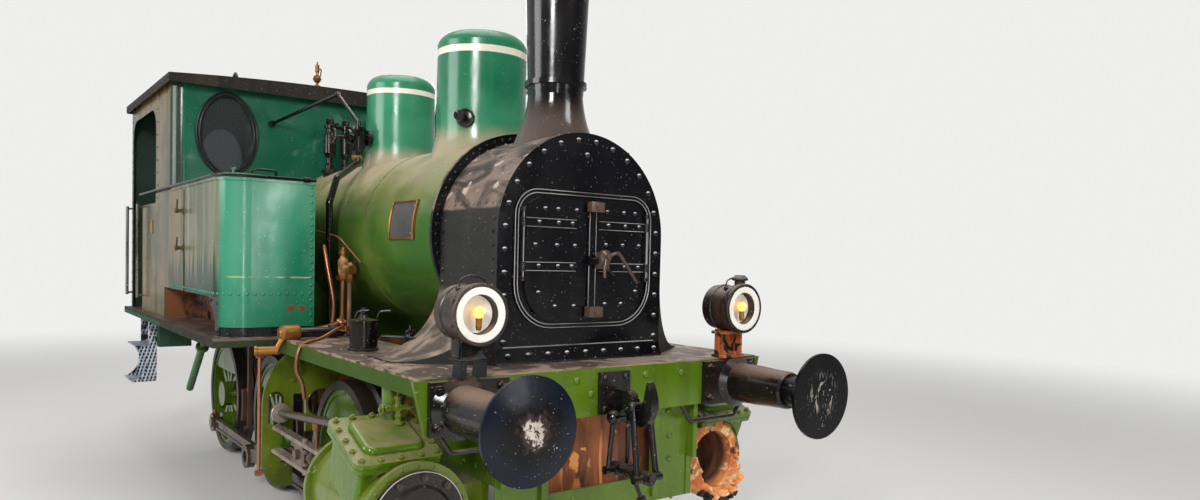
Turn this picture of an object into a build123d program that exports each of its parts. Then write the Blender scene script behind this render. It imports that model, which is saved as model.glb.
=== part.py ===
"""Small six-coupled steam tank locomotive with outside cylinders.

The pieces are drawn with Y measured backwards from the front buffer faces and Z upwards
from the top of the rail. The front of the engine looks along -Y. At the end every piece is
moved so that the origin lies under the middle of the engine, at the tips of the wheel flanges.
"""
import math
import os

from build123d import *

# Overall sizes, millimetres
LENGTH = 6740            # over the buffer faces
FLANGE = 28              # depth of the wheel flanges below the tread
FIT = 0.3                # gap left between curved faces that seat on each other
RUNNING = 1.0            # radial play of the coupling rod eyes on their pins

# Wheels, axles and coupling rods
WHEEL_R = 480
BACK_X = 680             # back face of each wheel, from the middle line
TYRE_W = 135
TYRE_T = 55
AXLE_R = 80
AXLES = {"front": 2190, "middle": 3600, "rear": 5000}
CRANK = 240
SPOKES = 11
HUB_R = 105
PIN_BOSS_R = 78
HUB_OUT = 18             # the hub stands this far proud of the tyre
CRANK_PIN_R = 42
ROD_GAP = 25             # from the hub face to the coupling rod
ROD_T = 55               # thickness of a coupling rod's eyes
ROD_EYE_R = 78
ROD_BAR_T = 34
ROD_BAR_H = 84
PIN_CAP_T = 10

# Frames and buffer beams
FRAME_X = 600            # inner face of each main frame
FRAME_T = 28
BEAM_Y = 620             # front face of the front beam, behind the buffer faces
BEAM_T = 26
BEAM_TOP = 1180
BEAM_H = 240
BEAM_HALF = 1090
BEAM_TAPER = 60
BUFFER_X = 875
BASE_X = BUFFER_X - 50     # the base plates reach further inwards than outwards
BUFFER_H = 1050
BUFFER_R = 220
BUFFER_DOME = 26
BUFFER_RIM = 14
HOUSING_R = 109
RAM_R = 80
BASE_W = 395
BASE_H = 240
BASE_T = 28

# Platforms
SHEET = 8
VALANCE = 80
WIDE_VALANCE = 45
NARROW_HALF = 1055
WIDE_HALF = 1430
WIDE_START = 2660
PLATFORM_TOP = BEAM_TOP + SHEET

# Boiler, smokebox and firebox
BOILER_Z = 1850
BARREL_R = 570
SMOKEBOX_R = 535
SMOKEBOX_FRONT = 885
SMOKEBOX_BACK = 1495
SMOKEBOX_BOTTOM = 1267
PLATE = 12               # smokebox plates
RING_R = 590
RING_T = 26
FIREBOX_FRONT = 3760
FIREBOX_BACK = 4840
FIREBOX_LOW_HALF = 545
FIREBOX_BOTTOM = 760

# Smokebox doors
DOOR_HALF = 380
DOOR_TOP = 2030
DOOR_BOTTOM = 1400
DOOR_T = 12
DOOR_LAP = 45            # the leaves lap the plate by this much
HINGE_X = 402
HINGE_R = 9
HINGE_OUT = 22           # hinge rod centre, in front of the smokebox plate
STRAP_H = 44
STRAP_T = 9

# Chimney and domes
CHIMNEY_Y = 1195
CHIMNEY_TOP = 3800
CHIMNEY_WALL = 12
FRONT_DOME = {"y": 2025, "r": 281, "top": 3106, "skirt": 60}
REAR_DOME = {"y": 3243, "r": 251, "top": 3034, "skirt": 50}

# Side tanks
TANK_FRONT = WIDE_START + 60
TANK_IN = 810
SIDE_X = WIDE_HALF - 50    # outer face of the tanks and of the cab
TANK_TOP = 2170
TANK_CORNER = 180
TANK_WALL = 6
CURB = 60
RECESS = {"y0": TANK_FRONT + 110, "y1": 4450, "top": 1430, "depth": 280}
FILLER_Y = TANK_FRONT + 630
FILLER_R = 150
FILLER_H = 60
LID_T = 8
LIP = 8                  # the tank top stands out by this much
LIP_T = 16

# Cab
CAB_FRONT = 4190
CAB_BACK = LENGTH - BEAM_Y - 120
CAB_CORNER = 100
WALL = 6
ROOF_HALF = SIDE_X + 40
ROOF_EDGE = 3010
ROOF_RISE = 58
ROOF_T = 12
ROOF_BAND = 62
ROOF_FRONT = CAB_FRONT - 90
ROOF_BACK = CAB_BACK + 60
WINDOW_X = SIDE_X - 380
WINDOW_Z = 2610
WINDOW_W = 450
WINDOW_H = 640
RIM = 34
RIM_T = 16
BACK_WINDOW_X = 620
SIDE_OPEN = {"y0": CAB_FRONT + 645, "y1": CAB_BACK - 50, "z0": 2090, "z1": 2850, "corner": 180}
DOORWAY = {"y0": CAB_BACK - 560, "y1": CAB_BACK - 50}
TOOLBOX = {"x0": 985, "x1": WIDE_HALF - 185, "y0": CAB_BACK - 550, "y1": CAB_BACK - 40, "z0": 860}

# Cylinders and motion
CYL_X = 1000
CYL_Z = 535
CYL_FRONT = 750
CYL_BACK = 1500
CYL_R = 236
CYL_BORE = 165
CYL_FLANGE_R = 262
CYL_FLANGE_T = 30
COVER_R = 226
COVER_T = 24
BREAK_Y = 885            # where the broken cylinder now begins
ROD_LENGTH = 1380        # connecting rod, centre to centre
PISTON_ROD_R = 32
GUIDE_X = 1030           # slide bars stand just outside the connecting rod
GUIDE_HALF = 28
GUIDE_GAP = 62           # from the piston rod's line to each slide bar
GUIDE_T = 24
CON_X = 950              # inner face of the connecting rod
CON_T = 46
MOTION_Y = 2750
MOTION_T = 26
MOTION_OUT = 1115
MOTION_TOP = 1094
MOTION_LOW = 215
VALVE_ROD_R = 24


def block(x0, x1, y0, y1, z0, z1):
    """Rectangular solid between two corners."""
    return Pos((x0 + x1) / 2, (y0 + y1) / 2, (z0 + z1) / 2) * Box(x1 - x0, y1 - y0, z1 - z0)


def rod(p, q, r):
    """Round bar between two points."""
    a, b = Vector(*p), Vector(*q)
    return Plane(origin=a, z_dir=b - a) * Cylinder(r, (b - a).length, align=(Align.CENTER, Align.CENTER, Align.MIN))


def bar_x(x0, x1, y, z, r):
    return rod((x0, y, z), (x1, y, z), r)


def bar_y(x, y0, y1, z, r):
    return rod((x, y0, z), (x, y1, z), r)


def bar_z(x, y, z0, z1, r):
    return rod((x, y, z0), (x, y, z1), r)


def slab_x(outline, x0, x1):
    """Plate across X from an outline of (y, z) points."""
    return extrude(make_face(Polyline(*[(x0, y, z) for y, z in outline], close=True)), x1 - x0, (1, 0, 0))


def slab_y(outline, y0, y1):
    """Plate across Y from an outline of (x, z) points."""
    return extrude(make_face(Polyline(*[(x, y0, z) for x, z in outline], close=True)), y1 - y0, (0, 1, 0))


def slab_z(outline, z0, z1):
    """Plate across Z from an outline of (x, y) points."""
    return extrude(make_face(Polyline(*[(x, y, z0) for x, y in outline], close=True)), z1 - z0, (0, 0, 1))


def turned_z(x, y, outline):
    """Solid of revolution about a vertical line, from (radius, z) points."""
    face = make_face(Polyline(*[(r, 0, z) for r, z in outline], close=True))
    return Pos(x, y, 0) * revolve(face, Axis.Z)


def turned_y(x, z, outline):
    """Solid of revolution about a line along the engine, from (radius, y) points."""
    face = make_face(Polyline(*[(r, y, 0) for r, y in outline], close=True))
    return Pos(x, 0, z) * revolve(face, Axis.Y)


def turned_x(y, z, outline):
    """Solid of revolution about a line across the engine, from (radius, x) points."""
    face = make_face(Polyline(*[(x, r, 0) for r, x in outline], close=True))
    return Pos(0, y, z) * revolve(face, Axis.X)


def pipe(points, r, bend):
    """Round pipe along straight runs joined by bends."""
    path = FilletPolyline(*points, radius=bend)
    return sweep(Plane(origin=path @ 0, z_dir=path % 0) * Circle(r), path)


def both(*solids):
    """The solids and their mirror images across the middle line."""
    return list(solids) + [mirror(s, Plane.YZ) for s in solids]


def flipped(*solids):
    """Mirror images from the right-hand side to the left-hand side."""
    return [mirror(s, Plane.YZ) for s in solids]


def save(name, *solids):
    """Write one node, moved to the origin under the middle of the engine."""
    move = Pos(0, -LENGTH / 2, FLANGE)
    found = [move * s for piece in solids for s in piece.solids()]
    export_step(found[0] if len(found) == 1 else Compound(children=found), f"parts/{name}.step")


def roof_z(x, drop):
    """Height of the roof's arch at x, lowered by drop."""
    radius = (ROOF_HALF ** 2 + ROOF_RISE ** 2) / (2 * ROOF_RISE)
    return ROOF_EDGE + ROOF_RISE - (radius - math.sqrt(radius ** 2 - x ** 2)) - drop


def under_roof(half, z0, drop):
    """Outline from z0 up to an arch that follows the roof, between -half and half."""
    sides = Polyline((-half, 0, roof_z(half, drop)), (-half, 0, z0), (half, 0, z0), (half, 0, roof_z(half, drop)))
    arch = ThreePointArc((half, 0, roof_z(half, drop)), (0, 0, roof_z(0, drop)), (-half, 0, roof_z(half, drop)))
    return make_face(sides + arch)


# Frames

def main_frame():
    """One plate frame with the horn gaps for its three axleboxes."""
    low, top = 640, BEAM_TOP
    y0, y1 = BEAM_Y + BEAM_T, LENGTH - BEAM_Y - BEAM_T
    plate = block(FRAME_X, FRAME_X + FRAME_T, y0, y1, low, top)
    plate += block(FRAME_X, FRAME_X + FRAME_T, CYL_FRONT + 60, CYL_BACK - 40, CYL_Z - 150, low)
    for y in AXLES.values():
        horn = [(y - 260, low), (y - 190, HORN_LOW), (y + 190, HORN_LOW), (y + 260, low)]
        plate += slab_x(horn, FRAME_X, FRAME_X + FRAME_T)
        plate -= block(FRAME_X, FRAME_X + FRAME_T, y - BOX_W / 2, y + BOX_W / 2, HORN_LOW, WHEEL_R + 150)
    for y in FRAME_HOLES:
        hole = Pos(FRAME_X, y, HOLE_Z) * Rot(0, 90, 0) * SlotOverall(300, 150, rotation=90)
        plate -= extrude(hole, FRAME_T, (1, 0, 0))
    return plate


BOX_W = 200
HORN_LOW = 330
HOLE_Z = 930
FRAME_HOLES = (AXLES["front"] - 340, AXLES["middle"] - 710, AXLES["middle"] + 700, LENGTH - 1140)
STRETCHER_T = 14
WINDOW_COLUMN = 340      # half the width of the window in the front stretcher


def stretchers():
    """Cross plates between the frames; the front one has a tall window between two columns."""
    y = CYL_FRONT - 50
    front = block(-FRAME_X, FRAME_X, y, y + STRETCHER_T, 420, BEAM_TOP)
    front -= block(-WINDOW_COLUMN, WINDOW_COLUMN, y, y + STRETCHER_T, 560, 940)
    for side in (-1, 1):
        x = side * (WINDOW_COLUMN + 20)
        front += block(x - 20, x + 20, y - 22, y, 450, 930)
    pieces = [front]
    for y, low in ((CYL_BACK + 120, 700), (MOTION_Y, 760), (FIREBOX_BACK + 660, 560)):
        plate = block(-FRAME_X, FRAME_X, y, y + STRETCHER_T, low, 1150)
        plate -= extrude(Plane(origin=(0, y, low + 200), x_dir=(1, 0, 0), z_dir=(0, 1, 0)) * SlotOverall(620, 180), STRETCHER_T)
        pieces.append(plate)
    return pieces


def axleboxes():
    """Six boxes that slide in the horn gaps, each bored for its axle."""
    pieces = []
    for y in AXLES.values():
        body = block(FRAME_X - 60, FRAME_X + FRAME_T + 20, y - BOX_W / 2 + FIT, y + BOX_W / 2 - FIT, HORN_LOW + 30, WHEEL_R + 120)
        body -= bar_x(FRAME_X - 80, FRAME_X + 80, y, WHEEL_R, AXLE_R + FIT)
        pieces += both(body)
    return pieces


def springs():
    """Laminated springs that stand over the axleboxes, inside the frames."""
    pieces = []
    for y in AXLES.values():
        z = 700
        leaves = None
        for i in range(5):
            half = 330 - 55 * i
            leaf = block(FRAME_X - 50, FRAME_X - 5, y - half, y + half, z - i * 14 + 56, z - i * 14 + 69)
            leaves = leaf if leaves is None else leaves + leaf
            leaves += block(FRAME_X - 50, FRAME_X - 5, y - half, y + half, z - i * 14 + 55, z - i * 14 + 56)
        buckle = block(FRAME_X - 52, FRAME_X - 1, y - 35, y + 35, WHEEL_R + 120, z + 80)
        hangers = bar_x(FRAME_X - 50, FRAME_X, y - 300, z + 62, 12) + bar_x(FRAME_X - 50, FRAME_X, y + 300, z + 62, 12)
        pieces += both(leaves + buckle + hangers)
    return pieces


# Buffer beams, buffers and couplings

def beam(y):
    """Beam plate with its lower corners tapered."""
    low = BEAM_TOP - BEAM_H
    outline = [(-BEAM_HALF, BEAM_TOP), (BEAM_HALF, BEAM_TOP), (BEAM_HALF - BEAM_TAPER, low), (BEAM_TAPER - BEAM_HALF, low)]
    return slab_y(outline, y, y + BEAM_T)


def shunting_handles():
    """Bent bars below the front beam, one under each buffer."""
    y = BEAM_Y + BEAM_T / 2
    top, low = BEAM_TOP - BEAM_H + 4, BEAM_TOP - BEAM_H - 92
    route = [(490, y, top), (490 + 70, y, low), (900, y, low), (965, y, top)]
    return both(pipe(route, HANDLE_R, 34))


HANDLE_R = 12


def at_end(solid, rear):
    """Leave a piece of the front end where it is, or turn it round to the rear end."""
    return Pos(0, LENGTH, 0) * Rot(0, 0, 180) * solid if rear else solid


def buffer_housing(x):
    """Tapered housing on its square base plate."""
    y1 = BEAM_Y
    tube = turned_y(x, BUFFER_H, [(0, 200), (RAM_R + 14, 200), (RAM_R + 20, 215), (HOUSING_R - 6, 330), (HOUSING_R, 420),
                                  (HOUSING_R, y1 - BASE_T - 30), (HOUSING_R + 34, y1 - BASE_T), (0, y1 - BASE_T)])
    base_x = math.copysign(BASE_X, x)
    base = block(base_x - BASE_W / 2, base_x + BASE_W / 2, y1 - BASE_T, y1, BUFFER_H + 5 - BASE_H / 2, BUFFER_H + 5 + BASE_H / 2)
    return tube + base


def buffer_head(x, domed):
    """Ram and disc; one of a pair is domed and the other is flat."""
    dome = BUFFER_DOME if domed else 0
    face = Polyline((0, 200, 0), (RAM_R, 200, 0), (RAM_R, 70, 0), (RAM_R + 40, dome + BUFFER_RIM + 4, 0),
                    (BUFFER_R, dome + BUFFER_RIM, 0), (BUFFER_R, dome + 0.5, 0))
    if domed:
        rim = dome + 0.5
        sphere = (BUFFER_R ** 2 + rim ** 2) / (2 * rim)
        half = sphere - math.sqrt(sphere ** 2 - (BUFFER_R / 2) ** 2)
        cap = ThreePointArc((BUFFER_R, rim, 0), (BUFFER_R / 2, half, 0), (0, 0, 0))
    else:
        cap = Polyline((BUFFER_R, 0.5, 0), (BUFFER_R - 6, 0, 0), (0, 0, 0))
    outline = make_face(face + cap + Line((0, 0, 0), (0, 200, 0)))
    return Pos(x, 0, BUFFER_H) * revolve(outline, Axis.Y)


def drawhook():
    """Hook with its shank through the beam, the plate behind it and the eye below."""
    plate = block(-95, 95, BEAM_Y - 22, BEAM_Y, 950, 1160)
    shank = block(-28, 28, HOOK_Y + 40, BEAM_Y - 22, BUFFER_H - 42, BUFFER_H + 26)
    bowl = bar_x(-24, 24, HOOK_Y, BUFFER_H - 30, 110) - bar_x(-30, 30, HOOK_Y, EYE_Z, HOOK_EYE_R)
    bowl -= block(-30, 30, HOOK_Y - 14, HOOK_Y + HOOK_EYE_R, EYE_Z, BUFFER_H + 120)
    pin = bar_x(-62, 62, SHACKLE_Y, SHACKLE_Z, 22)
    lug = block(-22, 22, SHACKLE_Y - 26, BEAM_Y - 22, SHACKLE_Z - 26, BUFFER_H - 40)
    return plate + shank + bowl + pin + lug


HOOK_Y = 400
HOOK_EYE_R = 42
EYE_Z = BUFFER_H - 6
SHACKLE_Y = 548
SHACKLE_Z = 940


def screw_coupling():
    """Screw coupling hung up on the hook: shackle, screw with its two nuts, bow and tommy bar."""
    front_nut, rear_nut, low = HOOK_Y - 60, SHACKLE_Y + 14, 676
    pin_r = 17
    bow_z = EYE_Z - HOOK_EYE_R + pin_r + FIT
    body = bar_y(0, front_nut - 42, rear_nut + 36, low, 19) + bar_x(-52, 52, HOOK_Y, bow_z, pin_r)
    for y in (front_nut, rear_nut):
        body += bar_x(-86, 86, y, low, 21) + bar_y(0, y - 30, y + 30, low, 34)
    for side in (-1, 1):
        body += rod((side * 60, front_nut, low), (side * 52, HOOK_Y, bow_z), 16) + Pos(side * 52, HOOK_Y, bow_z) * Sphere(22)
        body += rod((side * 62, rear_nut, low), (side * 47, SHACKLE_Y, SHACKLE_Z), 14) + Pos(side * 47, SHACKLE_Y, SHACKLE_Z) * Sphere(37)
    body -= bar_x(-100, 100, SHACKLE_Y, SHACKLE_Z, 22 + FIT) + block(-24 - FIT, 24 + FIT, SHACKLE_Y - 60, SHACKLE_Y + 60, SHACKLE_Z - 60, SHACKLE_Z + 60)
    middle = (front_nut + rear_nut) / 2
    body += bar_y(0, middle - 26, middle + 26, low, 30)
    return body + rod((0, middle, low), (70, middle, low - 150), 11) + rod((62, middle, low - 133), (78, middle, low - 167), 24)


# Platforms

def front_platform():
    """Narrow running plate from the beam to the tanks, with its valances."""
    sheet = block(-NARROW_HALF, NARROW_HALF, BEAM_Y, WIDE_START, BEAM_TOP, PLATFORM_TOP)
    sheet -= block(-FRAME_X + 40, FRAME_X - 40, SMOKEBOX_BACK + 40, WIDE_START, BEAM_TOP, PLATFORM_TOP)
    for side in (-1, 1):
        x = side * (NARROW_HALF - SHEET / 2)
        sheet += block(x - SHEET / 2, x + SHEET / 2, BEAM_Y + BEAM_T, WIDE_START, BEAM_TOP - VALANCE, BEAM_TOP)
    return sheet


def cab_platform():
    """Wide running plate under the tanks and the cab."""
    end = ROOF_BACK
    sheet = block(-WIDE_HALF, WIDE_HALF, WIDE_START, end, BEAM_TOP, PLATFORM_TOP)
    sheet += block(-BEAM_HALF, BEAM_HALF, end, LENGTH - BEAM_Y, BEAM_TOP, PLATFORM_TOP)
    sheet -= block(-FRAME_X + 2, FRAME_X - 2, WIDE_START, FIREBOX_BACK + 4, BEAM_TOP, PLATFORM_TOP)
    for side in (-1, 1):
        x = side * (WIDE_HALF - SHEET / 2)
        sheet += block(x - SHEET / 2, x + SHEET / 2, WIDE_START, end, BEAM_TOP - WIDE_VALANCE, BEAM_TOP)
        a, b = sorted((side * NARROW_HALF, side * WIDE_HALF))
        sheet += block(a, b, WIDE_START, WIDE_START + SHEET, BEAM_TOP - WIDE_VALANCE, BEAM_TOP)
    t = TOOLBOX
    sheet += both(block(t["x0"], t["x1"], t["y0"], t["y1"], t["z0"], BEAM_TOP))
    return sheet


# Smokebox

def smokebox_outline(inset, y):
    """Round top on straight sides, drawn in the plane at y."""
    r = SMOKEBOX_R - inset
    low = SMOKEBOX_BOTTOM + inset
    sides = Polyline((r, y, BOILER_Z), (r, y, low), (-r, y, low), (-r, y, BOILER_Z))
    arch = ThreePointArc((-r, y, BOILER_Z), (0, y, BOILER_Z + r), (r, y, BOILER_Z))
    return make_face(sides + arch)


def smokebox():
    """Hollow shell with its front plate, door opening and the raised ring round the doors."""
    depth = SMOKEBOX_BACK - SMOKEBOX_FRONT
    shell = extrude(smokebox_outline(0, SMOKEBOX_FRONT), depth, (0, 1, 0))
    shell -= extrude(smokebox_outline(PLATE, SMOKEBOX_FRONT + PLATE), depth, (0, 1, 0))
    half = DOOR_HALF - DOOR_LAP
    shell -= block(-half, half, SMOKEBOX_FRONT, SMOKEBOX_FRONT + PLATE, DOOR_BOTTOM + DOOR_LAP, DOOR_TOP - DOOR_LAP)
    shell -= bar_z(0, CHIMNEY_Y, BOILER_Z, BOILER_Z + SMOKEBOX_R, CHIMNEY_BORE)
    return shell


CHIMNEY_BORE = 140


def smokebox_saddle():
    """Foot under the smokebox and the concave sheets that spread to the platform."""
    front, back = SMOKEBOX_FRONT, SMOKEBOX_BACK
    foot = block(-SMOKEBOX_R, SMOKEBOX_R, front, back, PLATFORM_TOP, SMOKEBOX_BOTTOM)
    wedge = slab_x([(front, PLATFORM_TOP), (front - 26, PLATFORM_TOP), (front - 22, PLATFORM_TOP + 10), (front, SMOKEBOX_BOTTOM)],
                   -SMOKEBOX_R, SMOKEBOX_R)
    pieces = [foot + wedge]
    x0, x1, z0, z1 = SMOKEBOX_R, SADDLE_HALF, PLATFORM_TOP, SADDLE_TOP
    hollow = ThreePointArc((x0, front, z1), (x0 + (x1 - x0) * 0.26, front, z0 + (z1 - z0) * 0.36), (x1, front, z0 + 8))
    rest = Polyline((x1, front, z0 + 8), (x1, front, z0), (x0, front, z0), (x0, front, z1))
    skirt = extrude(make_face(hollow + rest), back - front, (0, 1, 0))
    skirt -= slab_z([(x0 - 10, front - 10), (x0, front), (x1, SKIRT_BACK), (x1 + 10, front - 10)], z0 - 1, z1 + 1)
    return pieces + both(skirt)


SADDLE_HALF = 945
SADDLE_TOP = 1560
SKIRT_BACK = SMOKEBOX_FRONT + 300   # the skirts fall back this far at their outer ends


def smokebox_door(left):
    """One leaf with its two straps and its hinge rod; the left one carries the locking bar."""
    y1 = SMOKEBOX_FRONT - FIT
    y0 = y1 - DOOR_T
    outline = make_face(Polyline((1.5, y0, DOOR_BOTTOM), (DOOR_HALF, y0, DOOR_BOTTOM), (DOOR_HALF, y0, DOOR_TOP), (1.5, y0, DOOR_TOP), close=True))
    leaf = extrude(outline, DOOR_T, (0, 1, 0))
    corners = leaf.edges().filter_by(Axis.Y).sort_by(Axis.X)[-2:].sort_by(Axis.Z)
    leaf = fillet(corners[1], 100)
    corner = leaf.edges().filter_by(Axis.Y).sort_by(Axis.Z)[:2].sort_by(Axis.X)[-1]
    leaf = fillet(corner, 190)
    hinge_y = SMOKEBOX_FRONT - HINGE_OUT
    for z in STRAPS:
        leaf += block(70, HINGE_X, y0 - STRAP_T, y0, z - STRAP_H / 2, z + STRAP_H / 2)
        leaf += bar_z(HINGE_X, hinge_y, z - STRAP_H / 2, z + STRAP_H / 2, HINGE_R + 7)
    leaf += bar_z(HINGE_X, hinge_y, STRAPS[0] - 75, STRAPS[1] + 75, HINGE_R)
    if left:
        bar = block(8, 52, y0 - 14, y0, DOOR_BOTTOM + 30, DOOR_TOP - 30)
        bar += block(2, 60, y0 - 30, y0, 1690, 1740)
        bar += rod((30, y0 - 14, 1715), (30, y0 - 60, 1715), 14)
        bar += rod((30, y0 - 52, 1715), (150, y0 - 52, 1640), 9)
        return leaf + bar
    return mirror(leaf, Plane.YZ)


STRAPS = (1680, 1902)


def door_brackets():
    """Eyes that hold the ends of the hinge rods, and the moulding round the two doors."""
    pieces = [door_moulding()]
    hinge_y = SMOKEBOX_FRONT - HINGE_OUT
    for z in (STRAPS[0] - 62, STRAPS[1] + 62):
        eye = bar_z(HINGE_X, hinge_y, z - 10, z + 10, HINGE_R + 8)
        eye += block(HINGE_X - HINGE_R - 8, HINGE_X + HINGE_R + 8, hinge_y, SMOKEBOX_FRONT, z - 10, z + 10)
        eye -= bar_z(HINGE_X, hinge_y, z - 12, z + 12, HINGE_R + FIT)
        pieces += both(eye)
    return pieces


def door_moulding():
    """Raised strip round the doors, with small corners above and large ones below."""
    half, low, top = HINGE_X + 22, DOOR_BOTTOM - 16, DOOR_TOP + 22

    def board(grow):
        outline = slab_y([(-half - grow, low - grow), (half + grow, low - grow), (half + grow, top + grow), (-half - grow, top + grow)],
                         SMOKEBOX_FRONT - MOULDING_T, SMOKEBOX_FRONT)
        upright = outline.edges().filter_by(Axis.Y).group_by(Axis.Z)
        return fillet(upright[0], 205 + grow).fillet(115 + grow, upright[-1])

    return board(MOULDING_W) - board(0)


MOULDING_T = 14
MOULDING_W = 18


def chimney():
    """Tapered stack with its band, rim and the flared base that sits on the smokebox."""
    foot_r, waist_r, waist_z, top_r = 262, 153, 2612, 197
    foot_z = BOILER_Z + SMOKEBOX_R - 90
    outside = Polyline((waist_r, 0, waist_z), (157, 0, waist_z + 50), (172, 0, waist_z + 52), (172, 0, waist_z + 80), (157, 0, waist_z + 82),
                       (159, 0, 2750), (173, 0, 3140), (top_r, 0, CHIMNEY_TOP - 60), (top_r + 20, 0, CHIMNEY_TOP - 50),
                       (top_r + 20, 0, CHIMNEY_TOP - 12), (top_r + 8, 0, CHIMNEY_TOP),
                       (top_r - CHIMNEY_WALL, 0, CHIMNEY_TOP), (CHIMNEY_BORE, 0, waist_z), (CHIMNEY_BORE, 0, foot_z), (foot_r, 0, foot_z))
    flare = ThreePointArc((foot_r, 0, foot_z), (waist_r + 26, 0, waist_z - 140), (waist_r, 0, waist_z))
    stack = Pos(0, CHIMNEY_Y, 0) * revolve(make_face(outside + flare), Axis.Z)
    return stack - bar_y(0, SMOKEBOX_FRONT - 50, SMOKEBOX_BACK + 50, BOILER_Z, SMOKEBOX_R + FIT)


def dome(y, r, top, skirt):
    """Clad dome with a nearly flat crown, spread at its foot to sit on the barrel."""
    foot = BOILER_Z + BARREL_R - r * r / (2 * BARREL_R) - 60
    wide, deep = 120, 72
    side = Polyline((r, 0, foot + 230), (r, 0, top - deep))
    shoulder = ThreePointArc((r, 0, top - deep), (r - wide * 0.24, 0, top - deep * 0.34), (r - wide, 0, top - 6))
    flare = ThreePointArc((r + skirt, 0, foot), (r + skirt * 0.25, 0, foot + 110), (r, 0, foot + 230))
    rest = Polyline((r - wide, 0, top - 6), (0, 0, top), (0, 0, foot), (r + skirt, 0, foot))
    body = Pos(0, y, 0) * revolve(make_face(flare + side + shoulder + rest), Axis.Z)
    return body - bar_y(0, y - 500, y + 500, BOILER_Z, BARREL_R + FIT)


def boiler_barrel():
    """Clad barrel with the riveted ring at its front and two bands."""
    barrel = bar_y(0, SMOKEBOX_BACK + RING_T, FIREBOX_FRONT, BOILER_Z, BARREL_R)
    for y in (2520, 3640):
        barrel += bar_y(0, y, y + 50, BOILER_Z, BARREL_R + 2.5)
    return barrel


def firebox():
    """Round-topped outer firebox, narrowed between the frames, with the firehole in its back."""
    def section(half, low):
        sides = Polyline((half, FIREBOX_FRONT, BOILER_Z), (half, FIREBOX_FRONT, low), (-half, FIREBOX_FRONT, low), (-half, FIREBOX_FRONT, BOILER_Z))
        arch = ThreePointArc((-half, FIREBOX_FRONT, BOILER_Z), (0, FIREBOX_FRONT, BOILER_Z + half), (half, FIREBOX_FRONT, BOILER_Z))
        return extrude(make_face(sides + arch), FIREBOX_BACK - FIREBOX_FRONT, (0, 1, 0))

    body = section(BARREL_R, PLATFORM_TOP + 20) + block(-FIREBOX_LOW_HALF, FIREBOX_LOW_HALF, FIREBOX_FRONT, FIREBOX_BACK, FIREBOX_BOTTOM, PLATFORM_TOP + 30)
    body -= bar_y(0, FIREBOX_BACK - 60, FIREBOX_BACK, 1560, 170)
    return body


def ashpan():
    """Pan below the grate, between the middle and the rear axle."""
    outline = [(FIREBOX_FRONT + 40, FIREBOX_BOTTOM), (FIREBOX_BACK - 40, FIREBOX_BOTTOM), (FIREBOX_BACK - 120, 430), (FIREBOX_FRONT + 120, 430)]
    return slab_x(outline, -480, 480)


# Tanks

def tank_plan(inset, z):
    """Plan of a tank with its rounded outer front corner, drawn at height z."""
    x0, x1 = TANK_IN + inset, SIDE_X - inset
    y0, y1 = TANK_FRONT + inset, CAB_FRONT + CAB_CORNER - inset
    r = TANK_CORNER - inset
    corner = ThreePointArc((x1 - r, y0, z), (x1 - r * (1 - math.sqrt(0.5)), y0 + r * (1 - math.sqrt(0.5)), z), (x1, y0 + r, z))
    rest = Polyline((x1, y0 + r, z), (x1, y1, z), (x0, y1, z), (x0, y0, z), (x1 - r, y0, z))
    return make_face(corner + rest)


def tank():
    """Hollow side tank on its curb, notched low down on the outside, with the filler neck on top."""
    low = PLATFORM_TOP + CURB
    body = extrude(tank_plan(0, low), TANK_TOP - low, (0, 0, 1))
    step = block(SIDE_X - RECESS["depth"], SIDE_X + 10, RECESS["y0"], RECESS["y1"], low, RECESS["top"])
    body -= step
    inner = extrude(tank_plan(TANK_WALL, low + TANK_WALL), TANK_TOP - low - 2 * TANK_WALL, (0, 0, 1))
    w = TANK_WALL
    inner -= block(SIDE_X - RECESS["depth"] - w, SIDE_X + 10, RECESS["y0"] - w, RECESS["y1"] + w, low, RECESS["top"] + w)
    body -= inner
    lip = extrude(tank_plan(-LIP, TANK_TOP - LIP_T), LIP_T, (0, 0, 1))
    lip -= extrude(tank_plan(TANK_WALL, TANK_TOP - LIP_T), LIP_T - TANK_WALL, (0, 0, 1))
    body += lip - block(TANK_IN - 50, SIDE_X + 50, CAB_FRONT - 4, CAB_FRONT + CAB_CORNER + 50, TANK_TOP - LIP_T - 1, TANK_TOP + 1)
    x = (TANK_IN + SIDE_X) / 2
    neck = bar_z(x, FILLER_Y, TANK_TOP, TANK_TOP + FILLER_H, FILLER_R)
    body += neck
    body -= bar_z(x, FILLER_Y, TANK_TOP - 2 * w, TANK_TOP + FILLER_H, FILLER_R - w)
    curb = extrude(tank_plan(14, PLATFORM_TOP), CURB, (0, 0, 1))
    curb -= block(SIDE_X - RECESS["depth"], SIDE_X + 10, RECESS["y0"], RECESS["y1"], PLATFORM_TOP, low)
    body += curb
    for sign in (-1, 1):
        ear = block(TANK_IN + LID_HINGE_IN - 12, TANK_IN + LID_HINGE_IN + 12, FILLER_Y + sign * 45 - 6, FILLER_Y + sign * 45 + 6, TANK_TOP, TANK_TOP + FILLER_H + 16)
        ear -= rod((TANK_IN + LID_HINGE_IN, FILLER_Y - 80, LID_PIN_Z), (TANK_IN + LID_HINGE_IN, FILLER_Y + 80, LID_PIN_Z), 6 + FIT)
        body += ear
    return body


LID_HINGE_IN = (SIDE_X - TANK_IN) / 2 - FILLER_R - 34
LID_PIN_Z = TANK_TOP + FILLER_H + 4


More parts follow.
